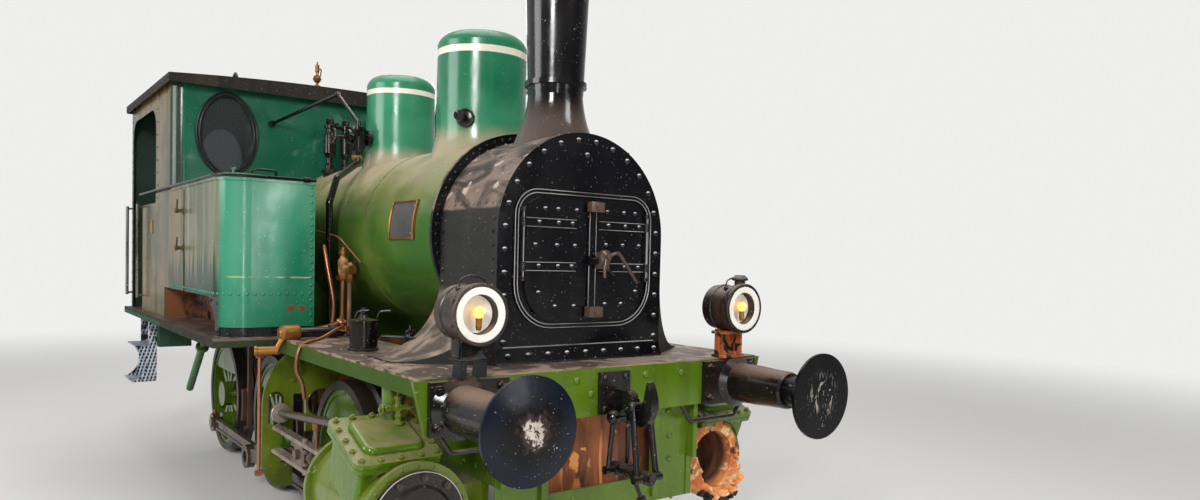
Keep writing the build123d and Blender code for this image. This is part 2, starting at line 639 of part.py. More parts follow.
def tank_lid():
    """Filler lid with the lug and pin of its hinge on the inner side."""
    x = (TANK_IN + SIDE_X) / 2
    z0 = TANK_TOP + FILLER_H + FIT
    lid = bar_z(x, FILLER_Y, z0, z0 + LID_T, FILLER_R + 12)
    lid += bar_z(x, FILLER_Y, z0 + LID_T, z0 + LID_T + 6, FILLER_R - 40)
    lid += block(TANK_IN + LID_HINGE_IN, x - FILLER_R + 30, FILLER_Y - 30, FILLER_Y + 30, z0, z0 + LID_T)
    lid += rod((TANK_IN + LID_HINGE_IN, FILLER_Y - 56, LID_PIN_Z), (TANK_IN + LID_HINGE_IN, FILLER_Y + 56, LID_PIN_Z), 6)
    handle = rod((x + 60, FILLER_Y, z0 + LID_T), (x + 60, FILLER_Y, z0 + LID_T + 40), 7)
    return lid + handle + rod((x + 60, FILLER_Y - 35, z0 + LID_T + 40), (x + 60, FILLER_Y + 35, z0 + LID_T + 40), 8)


# Cab

def oval(x, y, z, w, h):
    """Upright oval with straight sides, in a plane across the engine."""
    return Plane(origin=(x, y, z), x_dir=(1, 0, 0), z_dir=(0, 1, 0)) * Ellipse(w / 2, h / 2)


def cab_front():
    """Front sheet round the firebox, with two oval windows."""
    half = SIDE_X - CAB_CORNER
    sheet = Pos(0, CAB_FRONT, 0) * extrude(under_roof(half, TANK_TOP + 1, ROOF_T + 1), WALL, (0, 1, 0))
    sheet += block(-TANK_IN + 1, TANK_IN - 1, CAB_FRONT, CAB_FRONT + WALL, PLATFORM_TOP, TANK_TOP + 1)
    sheet -= bar_y(0, CAB_FRONT - 1, CAB_FRONT + WALL + 1, BOILER_Z, BARREL_R + 1)
    sheet -= block(-BARREL_R - 1, BARREL_R + 1, CAB_FRONT - 1, CAB_FRONT + WALL + 1, PLATFORM_TOP - 1, BOILER_Z)
    for side in (-1, 1):
        sheet -= extrude(oval(side * WINDOW_X, CAB_FRONT, WINDOW_Z, WINDOW_W - 2 * RIM, WINDOW_H - 2 * RIM), WALL, (0, 1, 0))
    return sheet


def side_plan(z):
    """Plan of a side sheet that turns in at its front corner."""
    x, r, w = SIDE_X, CAB_CORNER, WALL
    s = math.sqrt(0.5)
    y1 = CAB_BACK
    line = Polyline((x - r, CAB_FRONT, z), (x - r, CAB_FRONT + w, z))
    inner = ThreePointArc((x - r, CAB_FRONT + w, z), (x - r + (r - w) * s, CAB_FRONT + r - (r - w) * s, z), (x - w, CAB_FRONT + r, z))
    back = Polyline((x - w, CAB_FRONT + r, z), (x - w, y1, z), (x, y1, z), (x, CAB_FRONT + r, z))
    outer = ThreePointArc((x, CAB_FRONT + r, z), (x - r + r * s, CAB_FRONT + r - r * s, z), (x - r, CAB_FRONT, z))
    return make_face(line + inner + back + outer)


def side_opening():
    """The high opening with its rounded upper corners, and the doorway that it runs into."""
    a, b, low, top = (SIDE_OPEN[key] for key in ("y0", "y1", "z0", "z1"))
    high = block(SIDE_X - 20, SIDE_X + 20, a, b, low, top)
    high = fillet(high.edges().filter_by(Axis.X).group_by(Axis.Z)[-1], SIDE_OPEN["corner"])
    return high + block(SIDE_X - 20, SIDE_X + 20, DOORWAY["y0"], DOORWAY["y1"], PLATFORM_TOP - 1, low + 1)


def cab_side():
    """Side sheet with the high opening that runs into the doorway, and the end of the tank's recess."""
    top = roof_z(SIDE_X, ROOF_T + 1)
    upper = extrude(side_plan(TANK_TOP + 1), top - TANK_TOP - 1, (0, 0, 1))
    y0 = CAB_FRONT + CAB_CORNER + 1
    upper += block(SIDE_X - WALL, SIDE_X, y0, CAB_BACK, PLATFORM_TOP, TANK_TOP + 1)
    deep, y1, over = SIDE_X - RECESS["depth"], RECESS["y1"], RECESS["top"]
    upper += block(deep, SIDE_X, y0, y1 + WALL, PLATFORM_TOP, over + WALL)
    upper -= block(deep + WALL, SIDE_X + 1, y0 - 1, y1, PLATFORM_TOP, over)
    return upper - side_opening()


def cab_back():
    """Rear sheet with two oval windows."""
    y = CAB_BACK
    sheet = Pos(0, y, 0) * extrude(under_roof(SIDE_X, PLATFORM_TOP, ROOF_T + 1), WALL, (0, 1, 0))
    for side in (-1, 1):
        sheet -= extrude(oval(side * BACK_WINDOW_X, y, WINDOW_Z, WINDOW_W - 2 * RIM, WINDOW_H - 2 * RIM), WALL, (0, 1, 0))
    return sheet


def cab_roof():
    """Arched roof sheet with a deep band round its edge."""
    depth = ROOF_BACK - ROOF_FRONT
    low = ROOF_EDGE - ROOF_BAND
    body = Pos(0, ROOF_FRONT, 0) * extrude(under_roof(ROOF_HALF, low, 0), depth, (0, 1, 0))
    t = ROOF_T
    hollow = Pos(0, ROOF_FRONT + t, 0) * extrude(under_roof(ROOF_HALF - t, low - 1, t), depth - 2 * t, (0, 1, 0))
    return body - hollow


def window_rims():
    """Thick oval rims of the front and rear windows."""
    pieces = []
    for x, y0 in ((WINDOW_X, CAB_FRONT - RIM_T), (BACK_WINDOW_X, CAB_BACK + WALL)):
        outer = extrude(oval(x, y0, WINDOW_Z, WINDOW_W, WINDOW_H), RIM_T, (0, 1, 0))
        inner = extrude(oval(x, y0, WINDOW_Z, WINDOW_W - 2 * RIM, WINDOW_H - 2 * RIM), RIM_T, (0, 1, 0))
        pieces += both(outer - inner)
    return pieces


def window_glass():
    """Panes that lie in the front and rear window openings."""
    pieces = []
    for x, y0 in ((WINDOW_X, CAB_FRONT + 1), (BACK_WINDOW_X, CAB_BACK + 1)):
        pieces += both(extrude(oval(x, y0, WINDOW_Z, WINDOW_W - 2 * RIM - 1, WINDOW_H - 2 * RIM - 1), 4, (0, 1, 0)))
    return pieces


def cab_steps():
    """Two treads below each doorway, hung from the platform and joined by end plates with a hollow outer edge."""
    x0, high, low = WIDE_HALF - 170, 868, 560
    y0, y1 = DOORWAY["y0"] + 30, DOORWAY["y1"] - 50
    steps = block(x0, WIDE_HALF - 5, y0, y1, high, high + 8) + block(x0, WIDE_HALF + 20, y0, y1, low, low + 8)
    for y in (y0, y1 - 8):
        hollow = ThreePointArc((WIDE_HALF - 5, y, high + 4), (x0 + 75, y, (low + high) / 2 + 10), (WIDE_HALF + 20, y, low + 4))
        rest = Polyline((WIDE_HALF + 20, y, low + 4), (x0, y, low + 4), (x0, y, high + 4), (WIDE_HALF - 5, y, high + 4))
        steps += extrude(make_face(hollow + rest), 8, (0, 1, 0))
        steps += block(x0, x0 + 60, y, y + 8, high + 4, BEAM_TOP)
    return both(steps)


def handrails():
    """Upright rails beside the doorways."""
    pieces = []
    for y in (DOORWAY["y0"] - 25, DOORWAY["y1"] + 25):
        x = SIDE_X + 42
        rail = bar_z(x, y, 1300, 2100, 13)
        for z in (1320, 2080):
            rail += bar_x(SIDE_X, x, y, z, 9)
        pieces += both(rail)
    return pieces


def cab_controls():
    """Regulator, reversing lever and brake column inside the cab."""
    regulator = bar_y(0, FIREBOX_BACK, FIREBOX_BACK + 90, 2150, 22) + rod((0, FIREBOX_BACK + 80, 2150), (-230, FIREBOX_BACK + 80, 2290), 13)
    door = bar_y(0, FIREBOX_BACK, FIREBOX_BACK + 14, 1560, 200)
    y = FIREBOX_BACK + 360
    column = bar_z(900, y, PLATFORM_TOP, 2050, 26) + bar_z(900, y, 2050, 2075, 120)
    reverser = block(-700, -660, y - 250, y + 50, PLATFORM_TOP, 1500) + rod((-680, y - 100, 1480), (-680, y + 20, 2000), 16)
    return [regulator, door, column, reverser]


# Cylinders and motion

def cylinder_block():
    """Cylinder with end flanges and the web that bolts to the frame."""
    body = bar_y(CYL_X, CYL_FRONT, CYL_BACK, CYL_Z, CYL_R)
    for y in (CYL_FRONT, CYL_BACK - CYL_FLANGE_T):
        body += bar_y(CYL_X, y, y + CYL_FLANGE_T, CYL_Z, CYL_FLANGE_R)
    web = block(FRAME_X + FRAME_T, CYL_X, CYL_FRONT + 80, CYL_BACK - 80, CYL_Z - 165, CYL_Z + 105)
    return body + web


def valve_chest():
    """Steam chest that leans forward over the cylinder: double flange, raised panel, pipe and valve rod gland."""
    x = (CHEST_IN + CHEST_OUT) / 2
    width = CHEST_OUT - CHEST_IN
    tilt = math.atan2(CHEST_RISE, CHEST_LONG)
    lid = Plane(origin=(x, CHEST_Y, CHEST_Z), x_dir=(1, 0, 0), z_dir=(0, -math.sin(tilt), math.cos(tilt)))
    long = math.hypot(CHEST_RISE, CHEST_LONG)
    body = lid * extrude(RectangleRounded(width, long, 36), -24)
    body += lid.offset(-24) * extrude(RectangleRounded(width - 8, long - 8, 32), -4)
    body += lid.offset(-28) * extrude(RectangleRounded(width, long, 36), -24)
    body += lid.offset(-50) * extrude(RectangleRounded(width - 60, long - 50, 24), -230)
    panel = extrude(RectangleRounded(width - 130, long - 130, 50), 30)
    body += lid * fillet(panel.edges().filter_by(Plane.XY).group_by(Axis.Z)[-1], 22)
    body += bar_z(STEAM_PIPE["x"], STEAM_PIPE["y"], CHEST_Z, BEAM_TOP - FIT, STEAM_PIPE["r"])
    body += bar_y(VALVE_ROD_X, CHEST_Y + 120, CHEST_Y + 320, CHEST_Z - 22, 46)
    body -= bar_y(CYL_X, CYL_FRONT, CYL_BACK, CYL_Z, CYL_R + FIT)
    return body - bar_y(CYL_X, CYL_BACK - CYL_FLANGE_T - FIT, CYL_BACK, CYL_Z, CYL_FLANGE_R + FIT)


CHEST_IN, CHEST_OUT = 840, 1262
CHEST_LONG, CHEST_RISE = 380, 145
CHEST_Y, CHEST_Z = 990, 872
STEAM_PIPE = {"x": 985, "y": 1100, "r": 38}
VALVE_ROD_X = 1035


def valve_rod():
    """Valve spindle from the chest's gland back through the slot of the motion plate, with its collar."""
    front = (VALVE_ROD_X, CHEST_Y + 320 + FIT, CHEST_Z - 24)
    back = (VALVE_ROD_X, MOTION_Y + 120, ROD_SLOT_Z - 24)
    spindle = rod(front, back, VALVE_ROD_R)
    collar = Vector(*front) + (Vector(*back) - Vector(*front)) * 0.90
    along = (Vector(*back) - Vector(*front)).normalized() * 20
    return spindle + rod(collar, collar + along, 38)


ROD_SLOT_Z = 716


def cylinders():
    """The sound cylinder, bored, closed at the front by its cover."""
    sound = cylinder_block() - bar_y(CYL_X, CYL_FRONT - 1, CYL_BACK + 1, CYL_Z, CYL_BORE)
    return sound


def broken_cylinder():
    """The broken cylinder: its front flange is gone and a jagged edge is left, longest at the bottom."""
    body = cylinder_block() - bar_y(CYL_X, CYL_FRONT - 1, CYL_BACK + 1, CYL_Z, CYL_BORE)
    body -= block(CYL_X - 300, CYL_X + 300, CYL_FRONT - 10, BREAK_Y - 60, CYL_Z - 300, CYL_Z + 300)
    shard = [(CYL_X - 300, CYL_Z + 300), (CYL_X + 300, CYL_Z + 300), (CYL_X + 300, CYL_Z - 90), (CYL_X + 130, CYL_Z - 120),
             (CYL_X + 30, CYL_Z - 185), (CYL_X - 60, CYL_Z - 110), (CYL_X - 120, CYL_Z - 130), (CYL_X - 185, CYL_Z + 40), (CYL_X - 300, CYL_Z + 60)]
    return body - slab_y(shard, CYL_FRONT - 10, BREAK_Y)


def front_cover():
    """Front cylinder cover with its raised centre."""
    return turned_y(-CYL_X, CYL_Z, [(0, CYL_FRONT - 66), (70, CYL_FRONT - 66), (84, CYL_FRONT - 40), (150, CYL_FRONT - 34),
                                    (165, CYL_FRONT - 24), (COVER_R, CYL_FRONT - 22), (COVER_R, CYL_FRONT), (0, CYL_FRONT)])


def rear_cover():
    """Rear cylinder cover with the gland of the piston rod."""
    y = CYL_BACK
    hole = PISTON_ROD_R + FIT
    return turned_y(CYL_X, CYL_Z, [(hole, y), (COVER_R, y), (COVER_R, y + COVER_T), (GUIDE_GAP - 6, y + COVER_T), (GUIDE_GAP - 12, y + 80), (hole, y + 80)])


CROSSHEAD_Y = {"right": AXLES["middle"] - math.sqrt(ROD_LENGTH ** 2 - (CYL_Z - WHEEL_R + CRANK) ** 2),
               "left": AXLES["middle"] - CRANK - math.sqrt(ROD_LENGTH ** 2 - (CYL_Z - WHEEL_R) ** 2)}
BIG_END = {"right": (AXLES["middle"], WHEEL_R - CRANK), "left": (AXLES["middle"] - CRANK, WHEEL_R)}


def crosshead(y, piston_y):
    """Crosshead between its slide bars with the piston rod."""
    x0, x1, gap = GUIDE_X - GUIDE_HALF, GUIDE_X + GUIDE_HALF, GUIDE_GAP - FIT
    body = block(x0, x1, y - 105, y + 105, CYL_Z - gap, CYL_Z - gap + 26) + block(x0, x1, y - 105, y + 105, CYL_Z + gap - 26, CYL_Z + gap)
    body += slab_x([(y - 90, CYL_Z - 50), (y + 40, CYL_Z - gap + 20), (y + 40, CYL_Z + gap - 20), (y - 90, CYL_Z + 50)], x0, x1)
    body += block(CYL_X, x1, y - 130, y - 62, CYL_Z - 46, CYL_Z + 46)
    body += bar_y(CYL_X, piston_y, y - 62, CYL_Z, PISTON_ROD_R)
    return body + bar_x(CON_X - 12, x1 + 16, y, CYL_Z, 30)


def slide_bars():
    """Upper and lower bars from the rear cover to the motion plate."""
    y0, y1 = CYL_BACK + COVER_T, MOTION_Y
    pieces = []
    for sign in (-1, 1):
        z = CYL_Z + sign * (GUIDE_GAP + GUIDE_T / 2)
        pieces += both(block(GUIDE_X - GUIDE_HALF, GUIDE_X + GUIDE_HALF, y0, y1, z - GUIDE_T / 2, z + GUIDE_T / 2))
    return pieces


def connecting_rod(y, big):
    """Rod with its eyes, in the plane outside the crank pins."""
    (by, bz) = big
    x0, x1 = CON_X, CON_X + CON_T
    body = bar_x(x0, x1, y, CYL_Z, 56) + bar_x(x0 - 4, x1 + 4, by, bz, 84)
    length = math.hypot(by - y, bz - CYL_Z)
    uy, uz = (by - y) / length, (bz - CYL_Z) / length
    h0, h1 = 36, 48
    outline = [(y + uz * h0, CYL_Z - uy * h0), (by + uz * h1, bz - uy * h1), (by - uz * h1, bz + uy * h1), (y - uz * h0, CYL_Z + uy * h0)]
    body += slab_x(outline, x0 + 8, x1 - 8)
    body -= bar_x(x0 - 10, x1 + 10, y, CYL_Z, 30 + FIT)
    return body - bar_x(x0 - 10, x1 + 10, by, bz, CRANK_PIN_R)


def motion_plate():
    """Pear-shaped plate that hangs below the platform and carries the slide bars; the rods pass through it."""
    x0, y, out = FRAME_X + FRAME_T, MOTION_Y, MOTION_OUT
    leg_in = ROD_IN + ROD_T + 12
    foot = ThreePointArc((out, y, 390), (out - 42, y, 270), (out - 143, y, MOTION_LOW))
    inside = Polyline((out - 143, y, MOTION_LOW), (leg_in, y, MOTION_LOW + 8), (leg_in, y, 560), (x0, y, 560), (x0, y, MOTION_TOP),
                      (out - 183, y, MOTION_TOP))
    crown = ThreePointArc((out - 183, y, MOTION_TOP), (out - 67, y, MOTION_TOP - 119), (out, y, 755))
    plate = extrude(make_face(foot + inside + crown + Line((out, y, 755), (out, y, 390))), MOTION_T, (0, 1, 0))
    plate += block(out - 215, out - 183, y - 60, y, MOTION_TOP - 130, BEAM_TOP - FIT)
    low_rod, high_rod = WHEEL_R - CRANK - ROD_EYE_R - 12, WHEEL_R + CRANK + ROD_EYE_R + 12
    cut = block(ROD_IN - 12, leg_in, y - 61, y + MOTION_T, low_rod, high_rod)
    cut += block(ROD_IN, CON_X + CON_T + 5, y, y + MOTION_T, CYL_Z - 165, CYL_Z + 40)
    cut += extrude(Plane(origin=(VALVE_ROD_X, y, ROD_SLOT_Z), x_dir=(1, 0, 0), z_dir=(0, 1, 0)) * SlotOverall(200, 68, rotation=90), MOTION_T)
    return plate - cut - bar_y(752, y, y + MOTION_T, 742, 80)


HUB_FACE = BACK_X + TYRE_W + HUB_OUT
ROD_IN = HUB_FACE + ROD_GAP


# Wheels and coupling rods

def tyre():
    """Steel tyre with its flange on the inner side, about the X axis."""
    b, w, r = BACK_X, TYRE_W, WHEEL_R
    return turned_x(0, 0, [(r - TYRE_T, b), (r + FLANGE - 9, b), (r + FLANGE, b + 9), (r + FLANGE, b + 20), (r + 5, b + 33),
                           (r, b + 38), (r - 3, b + w), (r - TYRE_T, b + w)])


def wheel_centre(angle, pin_end):
    """Spoked centre about the X axis, its crank pin at an angle from straight down towards the front."""
    x0, x1 = BACK_X + 12, BACK_X + TYRE_W - 10
    rim_out = WHEEL_R - TYRE_T
    rim_in = rim_out - 34
    body = bar_x(x0, x1, 0, 0, rim_out) - bar_x(x0 - 1, x1 + 1, 0, 0, rim_in)
    body += bar_x(x0, HUB_FACE, 0, 0, HUB_R)
    pin_y, pin_z = -CRANK * math.sin(math.radians(angle)), -CRANK * math.cos(math.radians(angle))
    body += bar_x(x0 + 20, HUB_FACE, pin_y, pin_z, PIN_BOSS_R)
    mid = (x0 + x1) / 2
    for i in range(SPOKES):
        spoke = slab_x([(-26, HUB_R - 20), (26, HUB_R - 20), (20, rim_in + 8), (-20, rim_in + 8)], mid - 22, mid + 22)
        body += Rot(180 + 360 * i / SPOKES - angle, 0, 0) * spoke
    weight = bar_x(x0 + 15, x1 - 6, 0, 0, rim_in + 4) - block(x0, x1 + 9, -500, 500, -500, 205)
    body += Rot(-angle, 0, 0) * weight
    body += rod((HUB_FACE - 5, pin_y, pin_z), (pin_end, pin_y, pin_z), CRANK_PIN_R)
    return body


def coupling_rod():
    """Fluted bar with an eye for each crank pin, centred on the middle pin."""
    x0, x1 = ROD_IN, ROD_IN + ROD_T
    mid = (x0 + x1) / 2
    body = None
    for y in AXLES.values():
        eye = bar_x(x0, x1, y - AXLES["middle"], 0, ROD_EYE_R)
        body = eye if body is None else body + eye
    ys = [y - AXLES["middle"] for y in AXLES.values()]
    for a, b in zip(ys, ys[1:]):
        body += block(mid - ROD_BAR_T / 2, mid + ROD_BAR_T / 2, a, b, -ROD_BAR_H / 2, ROD_BAR_H / 2)
        body -= block(mid + ROD_BAR_T / 2 - 8, mid + ROD_BAR_T, a + 120, b - 120, -ROD_BAR_H / 2 + 16, ROD_BAR_H / 2 - 16)
    for y in ys:
        body -= bar_x(x0 - 1, x1 + 1, y, 0, CRANK_PIN_R + RUNNING)
    return body


# Fittings

def lamp(x):
    """Round lamp with a wide lens ring, an open reflector and a carrying loop."""
    r = LAMP_R
    shell = turned_y(x, LAMP_Z, [(r - 22, 505), (r + 4, 505), (r + 8, 515), (r + 8, 545), (r - 6, 556), (r - 10, 600), (r - 10, 770),
                                 (r - 30, 800), (0, 800), (0, 640), (40, 632), (r - 22, 540)])
    shell += turned_z(x, 700, [(0, LAMP_Z + r - 30), (46, LAMP_Z + r - 30), (46, LAMP_Z + r + 16), (60, LAMP_Z + r + 20), (30, LAMP_Z + r + 44), (0, LAMP_Z + r + 44)])
    return shell


LAMP_R = 130
LAMP_Z = 1470
LAMP_X = 830


def lamp_bracket(x):
    """Foot with two legs under each lamp."""
    z1 = LAMP_Z - LAMP_R + 6
    body = block(x - 75, x + 75, 585, 720, z1 - 46, z1 - 20)
    body += block(x - 90, x + 90, 600, 612, PLATFORM_TOP, z1 - 40) - block(x - 45, x + 45, 590, 620, PLATFORM_TOP, z1 - 60)
    body += block(x - 90, x + 90, 640, 720, PLATFORM_TOP, PLATFORM_TOP + 10)
    body += block(x - 70, x + 70, 612, 660, PLATFORM_TOP, z1 - 40) - block(x - 45, x + 45, 611, 661, PLATFORM_TOP + 10, z1 - 46)
    cradle = block(x - 60, x + 60, 600, 700, z1 - 24, LAMP_Z - LAMP_R * 0.6) - bar_y(x, 590, 710, LAMP_Z, LAMP_R - 10 + FIT)
    return body + cradle


def safety_valves():
    """Twin valve columns over the rear of the barrel, joined by a bridge near their tops."""
    x, y = -207, 4000
    foot = BOILER_Z + math.sqrt(BARREL_R ** 2 - x ** 2) - 50
    shape = [(0, foot), (34, foot), (34, foot + 90), (26, foot + 110), (26, foot + 150), (47, foot + 190), (47, foot + 330), (30, foot + 360),
             (30, foot + 385), (44, foot + 390), (44, foot + 412), (16, foot + 425), (12, foot + 480), (0, foot + 480)]
    body = block(x - 64, x + 64, y - 12, y + 12, foot + 386, foot + 414)
    for dx in (-64, 64):
        body += turned_z(x + dx, y, shape)
    body += block(x - 100, x + 100, y - 40, y + 40, foot - 60, foot + 62)
    return body - bar_y(0, y - 300, y + 300, BOILER_Z, BARREL_R + FIT)


def whistle():
    """Bell whistle on the roof's front edge: a ball, a waist, the bell and its spindle."""
    x, y = -335, ROOF_FRONT + 30
    z = roof_z(x, 0) - 2
    shape = [(0, z), (26, z), (26, z + 8), (12, z + 14), (12, z + 30), (26, z + 42), (34, z + 62), (26, z + 84), (11, z + 94), (11, z + 112),
             (17, z + 118), (17, z + 172), (6, z + 180), (6, z + 200), (0, z + 200)]
    bell = turned_z(x, y, shape)
    return bell - Pos(0, ROOF_FRONT - 1, 0) * extrude(under_roof(ROOF_HALF, ROOF_EDGE - 200, -FIT), 400, (0, 1, 0))


def number_plate():
    """Blank plate on the side of the barrel."""
    y0, y1 = SMOKEBOX_BACK + 255, SMOKEBOX_BACK + 590
    wrap = block(-BARREL_R - 60, 0, y0, y1, BOILER_Z - 40, BOILER_Z + 190)
    wrap &= bar_y(0, y0, y1, BOILER_Z, BARREL_R + 8) - bar_y(0, y0 - 1, y1 + 1, BOILER_Z, BARREL_R + FIT)
    return wrap


def steam_valve():
    """Valve on the rear dome with its pipe down to the platform and the rod that works it from the cab."""
    x, y, z = -REAR_DOME["r"] - 92, REAR_DOME["y"] - 40, 2560
    body = turned_z(x, y, [(0, z - 130), (34, z - 130), (34, z - 112), (48, z - 70), (58, z), (44, z + 50), (52, z + 54), (52, z + 72), (20, z + 80),
                           (14, z + 120), (0, z + 120)])
    body += bar_x(x - 70, -REAR_DOME["r"] + 20, y, z, 34) + bar_x(x + 55, x + 70, y, z, 58) + bar_x(x - 84, x - 66, y, z, 50)
    body -= bar_z(0, REAR_DOME["y"], z - 300, z + 300, REAR_DOME["r"] + FIT)
    foot = PLATFORM_TOP + FIT
    down = [(x, y, z - 126), (x - 20, y - 40, z - 190), (-600, 2920, 2230), (-656, 2900, 2060), (-640, 2900, foot + 60), (-640, 2900, foot)]
    body += pipe(down, STEAM_PIPE_R, 20) + bar_z(-640, 2900, foot, foot + 16, 44)
    elbow, end = (-400, 3480, 2900), (-672, CAB_FRONT - 14, 2730)
    body += rod((x, y, z + 100), elbow, 13) + rod(elbow, end, 13) + Pos(*elbow) * Sphere(20)
    body += bar_y(end[0], end[1] - 12, CAB_FRONT - FIT, end[2], 26)
    return body


STEAM_PIPE_R = 23


def feed_valves():
    """Clack valve on the barrel's side with its two pipes from the platform."""
    y, z = 2700, 1640
    x = -BARREL_R - 30
    body = bar_x(x - 10, x + 60, y, z, 26) + turned_z(x - 30, y, [(0, z - 70), (20, z - 70), (32, z - 40), (32, z + 40), (18, z + 56), (18, z + 80), (0, z + 80)])
    body += bar_z(x - 30, y, PLATFORM_TOP + FIT, z - 60, 15)
    body += bar_y(x - 30, y - 130, y, z - 20, 24) + bar_z(x - 30, y - 118, PLATFORM_TOP + FIT, z - 20, 14)
    return body - bar_y(0, y - 300, y + 100, BOILER_Z, BARREL_R + FIT)


def oil_pot():
    """Lidded oil pot that stands on the platform beside the barrel."""
    z = PLATFORM_TOP + FIT
    return turned_z(-850, 1780, [(0, z), (84, z), (84, z + 10), (76, z + 14), (76, z + 150), (82, z + 154), (82, z + 168), (30, z + 178), (12, z + 200), (0, z + 200)])


def feed_tube():
    """Tube that lies across the platform from its outer edge, with a larger cap on its end."""
    y, z = WIDE_START - 160, PLATFORM_TOP + 40 + FIT
    return bar_x(-1060, -700, y, z, 32) + bar_x(-1075, -985, y, z, 40) + bar_x(-790, -745, y, z, 40)


def brakes():
    """Hangers and blocks in front of the middle and rear wheels, joined by cross beams."""
    pieces = []
    for name in ("middle", "rear"):
        y = AXLES[name]
        gap = 8
        ring = bar_x(700, 800, y, WHEEL_R, WHEEL_R + 70) - bar_x(699, 801, y, WHEEL_R, WHEEL_R + FLANGE + gap)
        shoe = ring & block(700, 800, y - WHEEL_R - 90, y - 430, WHEEL_R - 150, WHEEL_R + 110)
        hang_y = y - WHEEL_R - 84
        hanger = block(735, 765, hang_y - 22, hang_y + 22, 250, 1040) + bar_x(FRAME_X + FRAME_T, 765, hang_y, 1020, 18)
        pair = both(shoe + hanger)
        beam_bar = bar_x(-765, 765, hang_y, 275, 24)
        pieces.append(pair[0] + pair[1] + beam_bar)
    return pieces


os.makedirs("parts", exist_ok=True)

save("main_frames", *both(main_frame()))
save("frame_stretchers", *stretchers())
save("axleboxes", *axleboxes())
save("springs", *springs())
save("front_buffer_beam", beam(BEAM_Y) + shunting_handles())
save("rear_buffer_beam", beam(LENGTH - BEAM_Y - BEAM_T))
ends = (False, True)
save("buffer_housings", *[at_end(buffer_housing(s * BUFFER_X), e) for e in ends for s in (-1, 1)])
save("buffer_heads", *[at_end(buffer_head(s * BUFFER_X, s < 0), e) for e in ends for s in (-1, 1)])
save("drawhooks", *[at_end(drawhook(), e) for e in ends])
save("screw_couplings", *[at_end(screw_coupling(), e) for e in ends])
save("front_platform", front_platform())
save("cab_platform", cab_platform())
save("smokebox", smokebox())
save("smokebox_saddle", *smokebox_saddle())
save("door_brackets", *door_brackets())
save("smokebox_door_right", smokebox_door(False))
save("smokebox_door_left", smokebox_door(True))
save("smokebox_ring", bar_y(0, SMOKEBOX_BACK, SMOKEBOX_BACK + RING_T, BOILER_Z, RING_R))
save("chimney", chimney())
save("boiler_barrel", boiler_barrel())
save("front_dome", dome(**FRONT_DOME))
save("rear_dome", dome(**REAR_DOME))
save("firebox", firebox())
save("ashpan", ashpan())
save("safety_valves", safety_valves())
save("whistle", whistle())
save("number_plate", number_plate())
save("boiler_fittings", steam_valve(), oil_pot(), *both(feed_valves(), feed_tube()), *flipped(oil_pot()))
save("tank_left", tank())
save("tank_right", *flipped(tank()))
save("tank_lid_left", tank_lid())
save("tank_lid_right", *flipped(tank_lid()))
save("cab_front", cab_front())
save("cab_sides", *both(cab_side()))
save("cab_back", cab_back())
save("cab_roof", cab_roof())
save("window_rims", *window_rims())
save("window_glass", *window_glass())
save("cab_steps", *cab_steps())
save("handrails", *handrails())
save("cab_controls", *cab_controls())
save("cylinder_right", *flipped(cylinders()))
save("cylinder_left", broken_cylinder())
save("valve_chests", *both(valve_chest(), valve_rod()))
save("cylinder_covers", front_cover(), *both(rear_cover()))
save("crossheads", crosshead(CROSSHEAD_Y["left"], CYL_BACK - 200), *flipped(crosshead(CROSSHEAD_Y["right"], CYL_BACK - 200)))
save("slide_bars", *slide_bars())
save("connecting_rods", connecting_rod(CROSSHEAD_Y["left"], BIG_END["left"]),
     *flipped(connecting_rod(CROSSHEAD_Y["right"], BIG_END["right"])))
save("motion_plates", *both(motion_plate()))
save("brakes", *brakes())
save("lamps", lamp(-LAMP_X), lamp(LAMP_X))
save("lamp_brackets", lamp_bracket(-LAMP_X), lamp_bracket(LAMP_X))

for name, y in AXLES.items():
    place = Pos(0, y, WHEEL_R)
    pin_end = ROD_IN + ROD_T + PIN_CAP_T
    left = wheel_centre(90, pin_end)
    right = mirror(wheel_centre(0, pin_end), Plane.YZ)
    axle = bar_x(-BACK_X - 20, BACK_X + 20, 0, 0, AXLE_R)
    save(f"wheels_{name}", place * (left + right + axle))
    save(f"tyres_{name}", place * tyre(), place * mirror(tyre(), Plane.YZ))
save("coupling_rod_left", Pos(0, BIG_END["left"][0], BIG_END["left"][1]) * coupling_rod())
save("coupling_rod_right", *flipped(Pos(0, BIG_END["right"][0], BIG_END["right"][1]) * coupling_rod()))
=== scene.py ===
"""The looks of a small six-coupled steam tank locomotive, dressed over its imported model."""
from math import acos, atan2, copysign, cos, pi, radians, sin

import bmesh
import bpy
from mathutils import Matrix, Vector


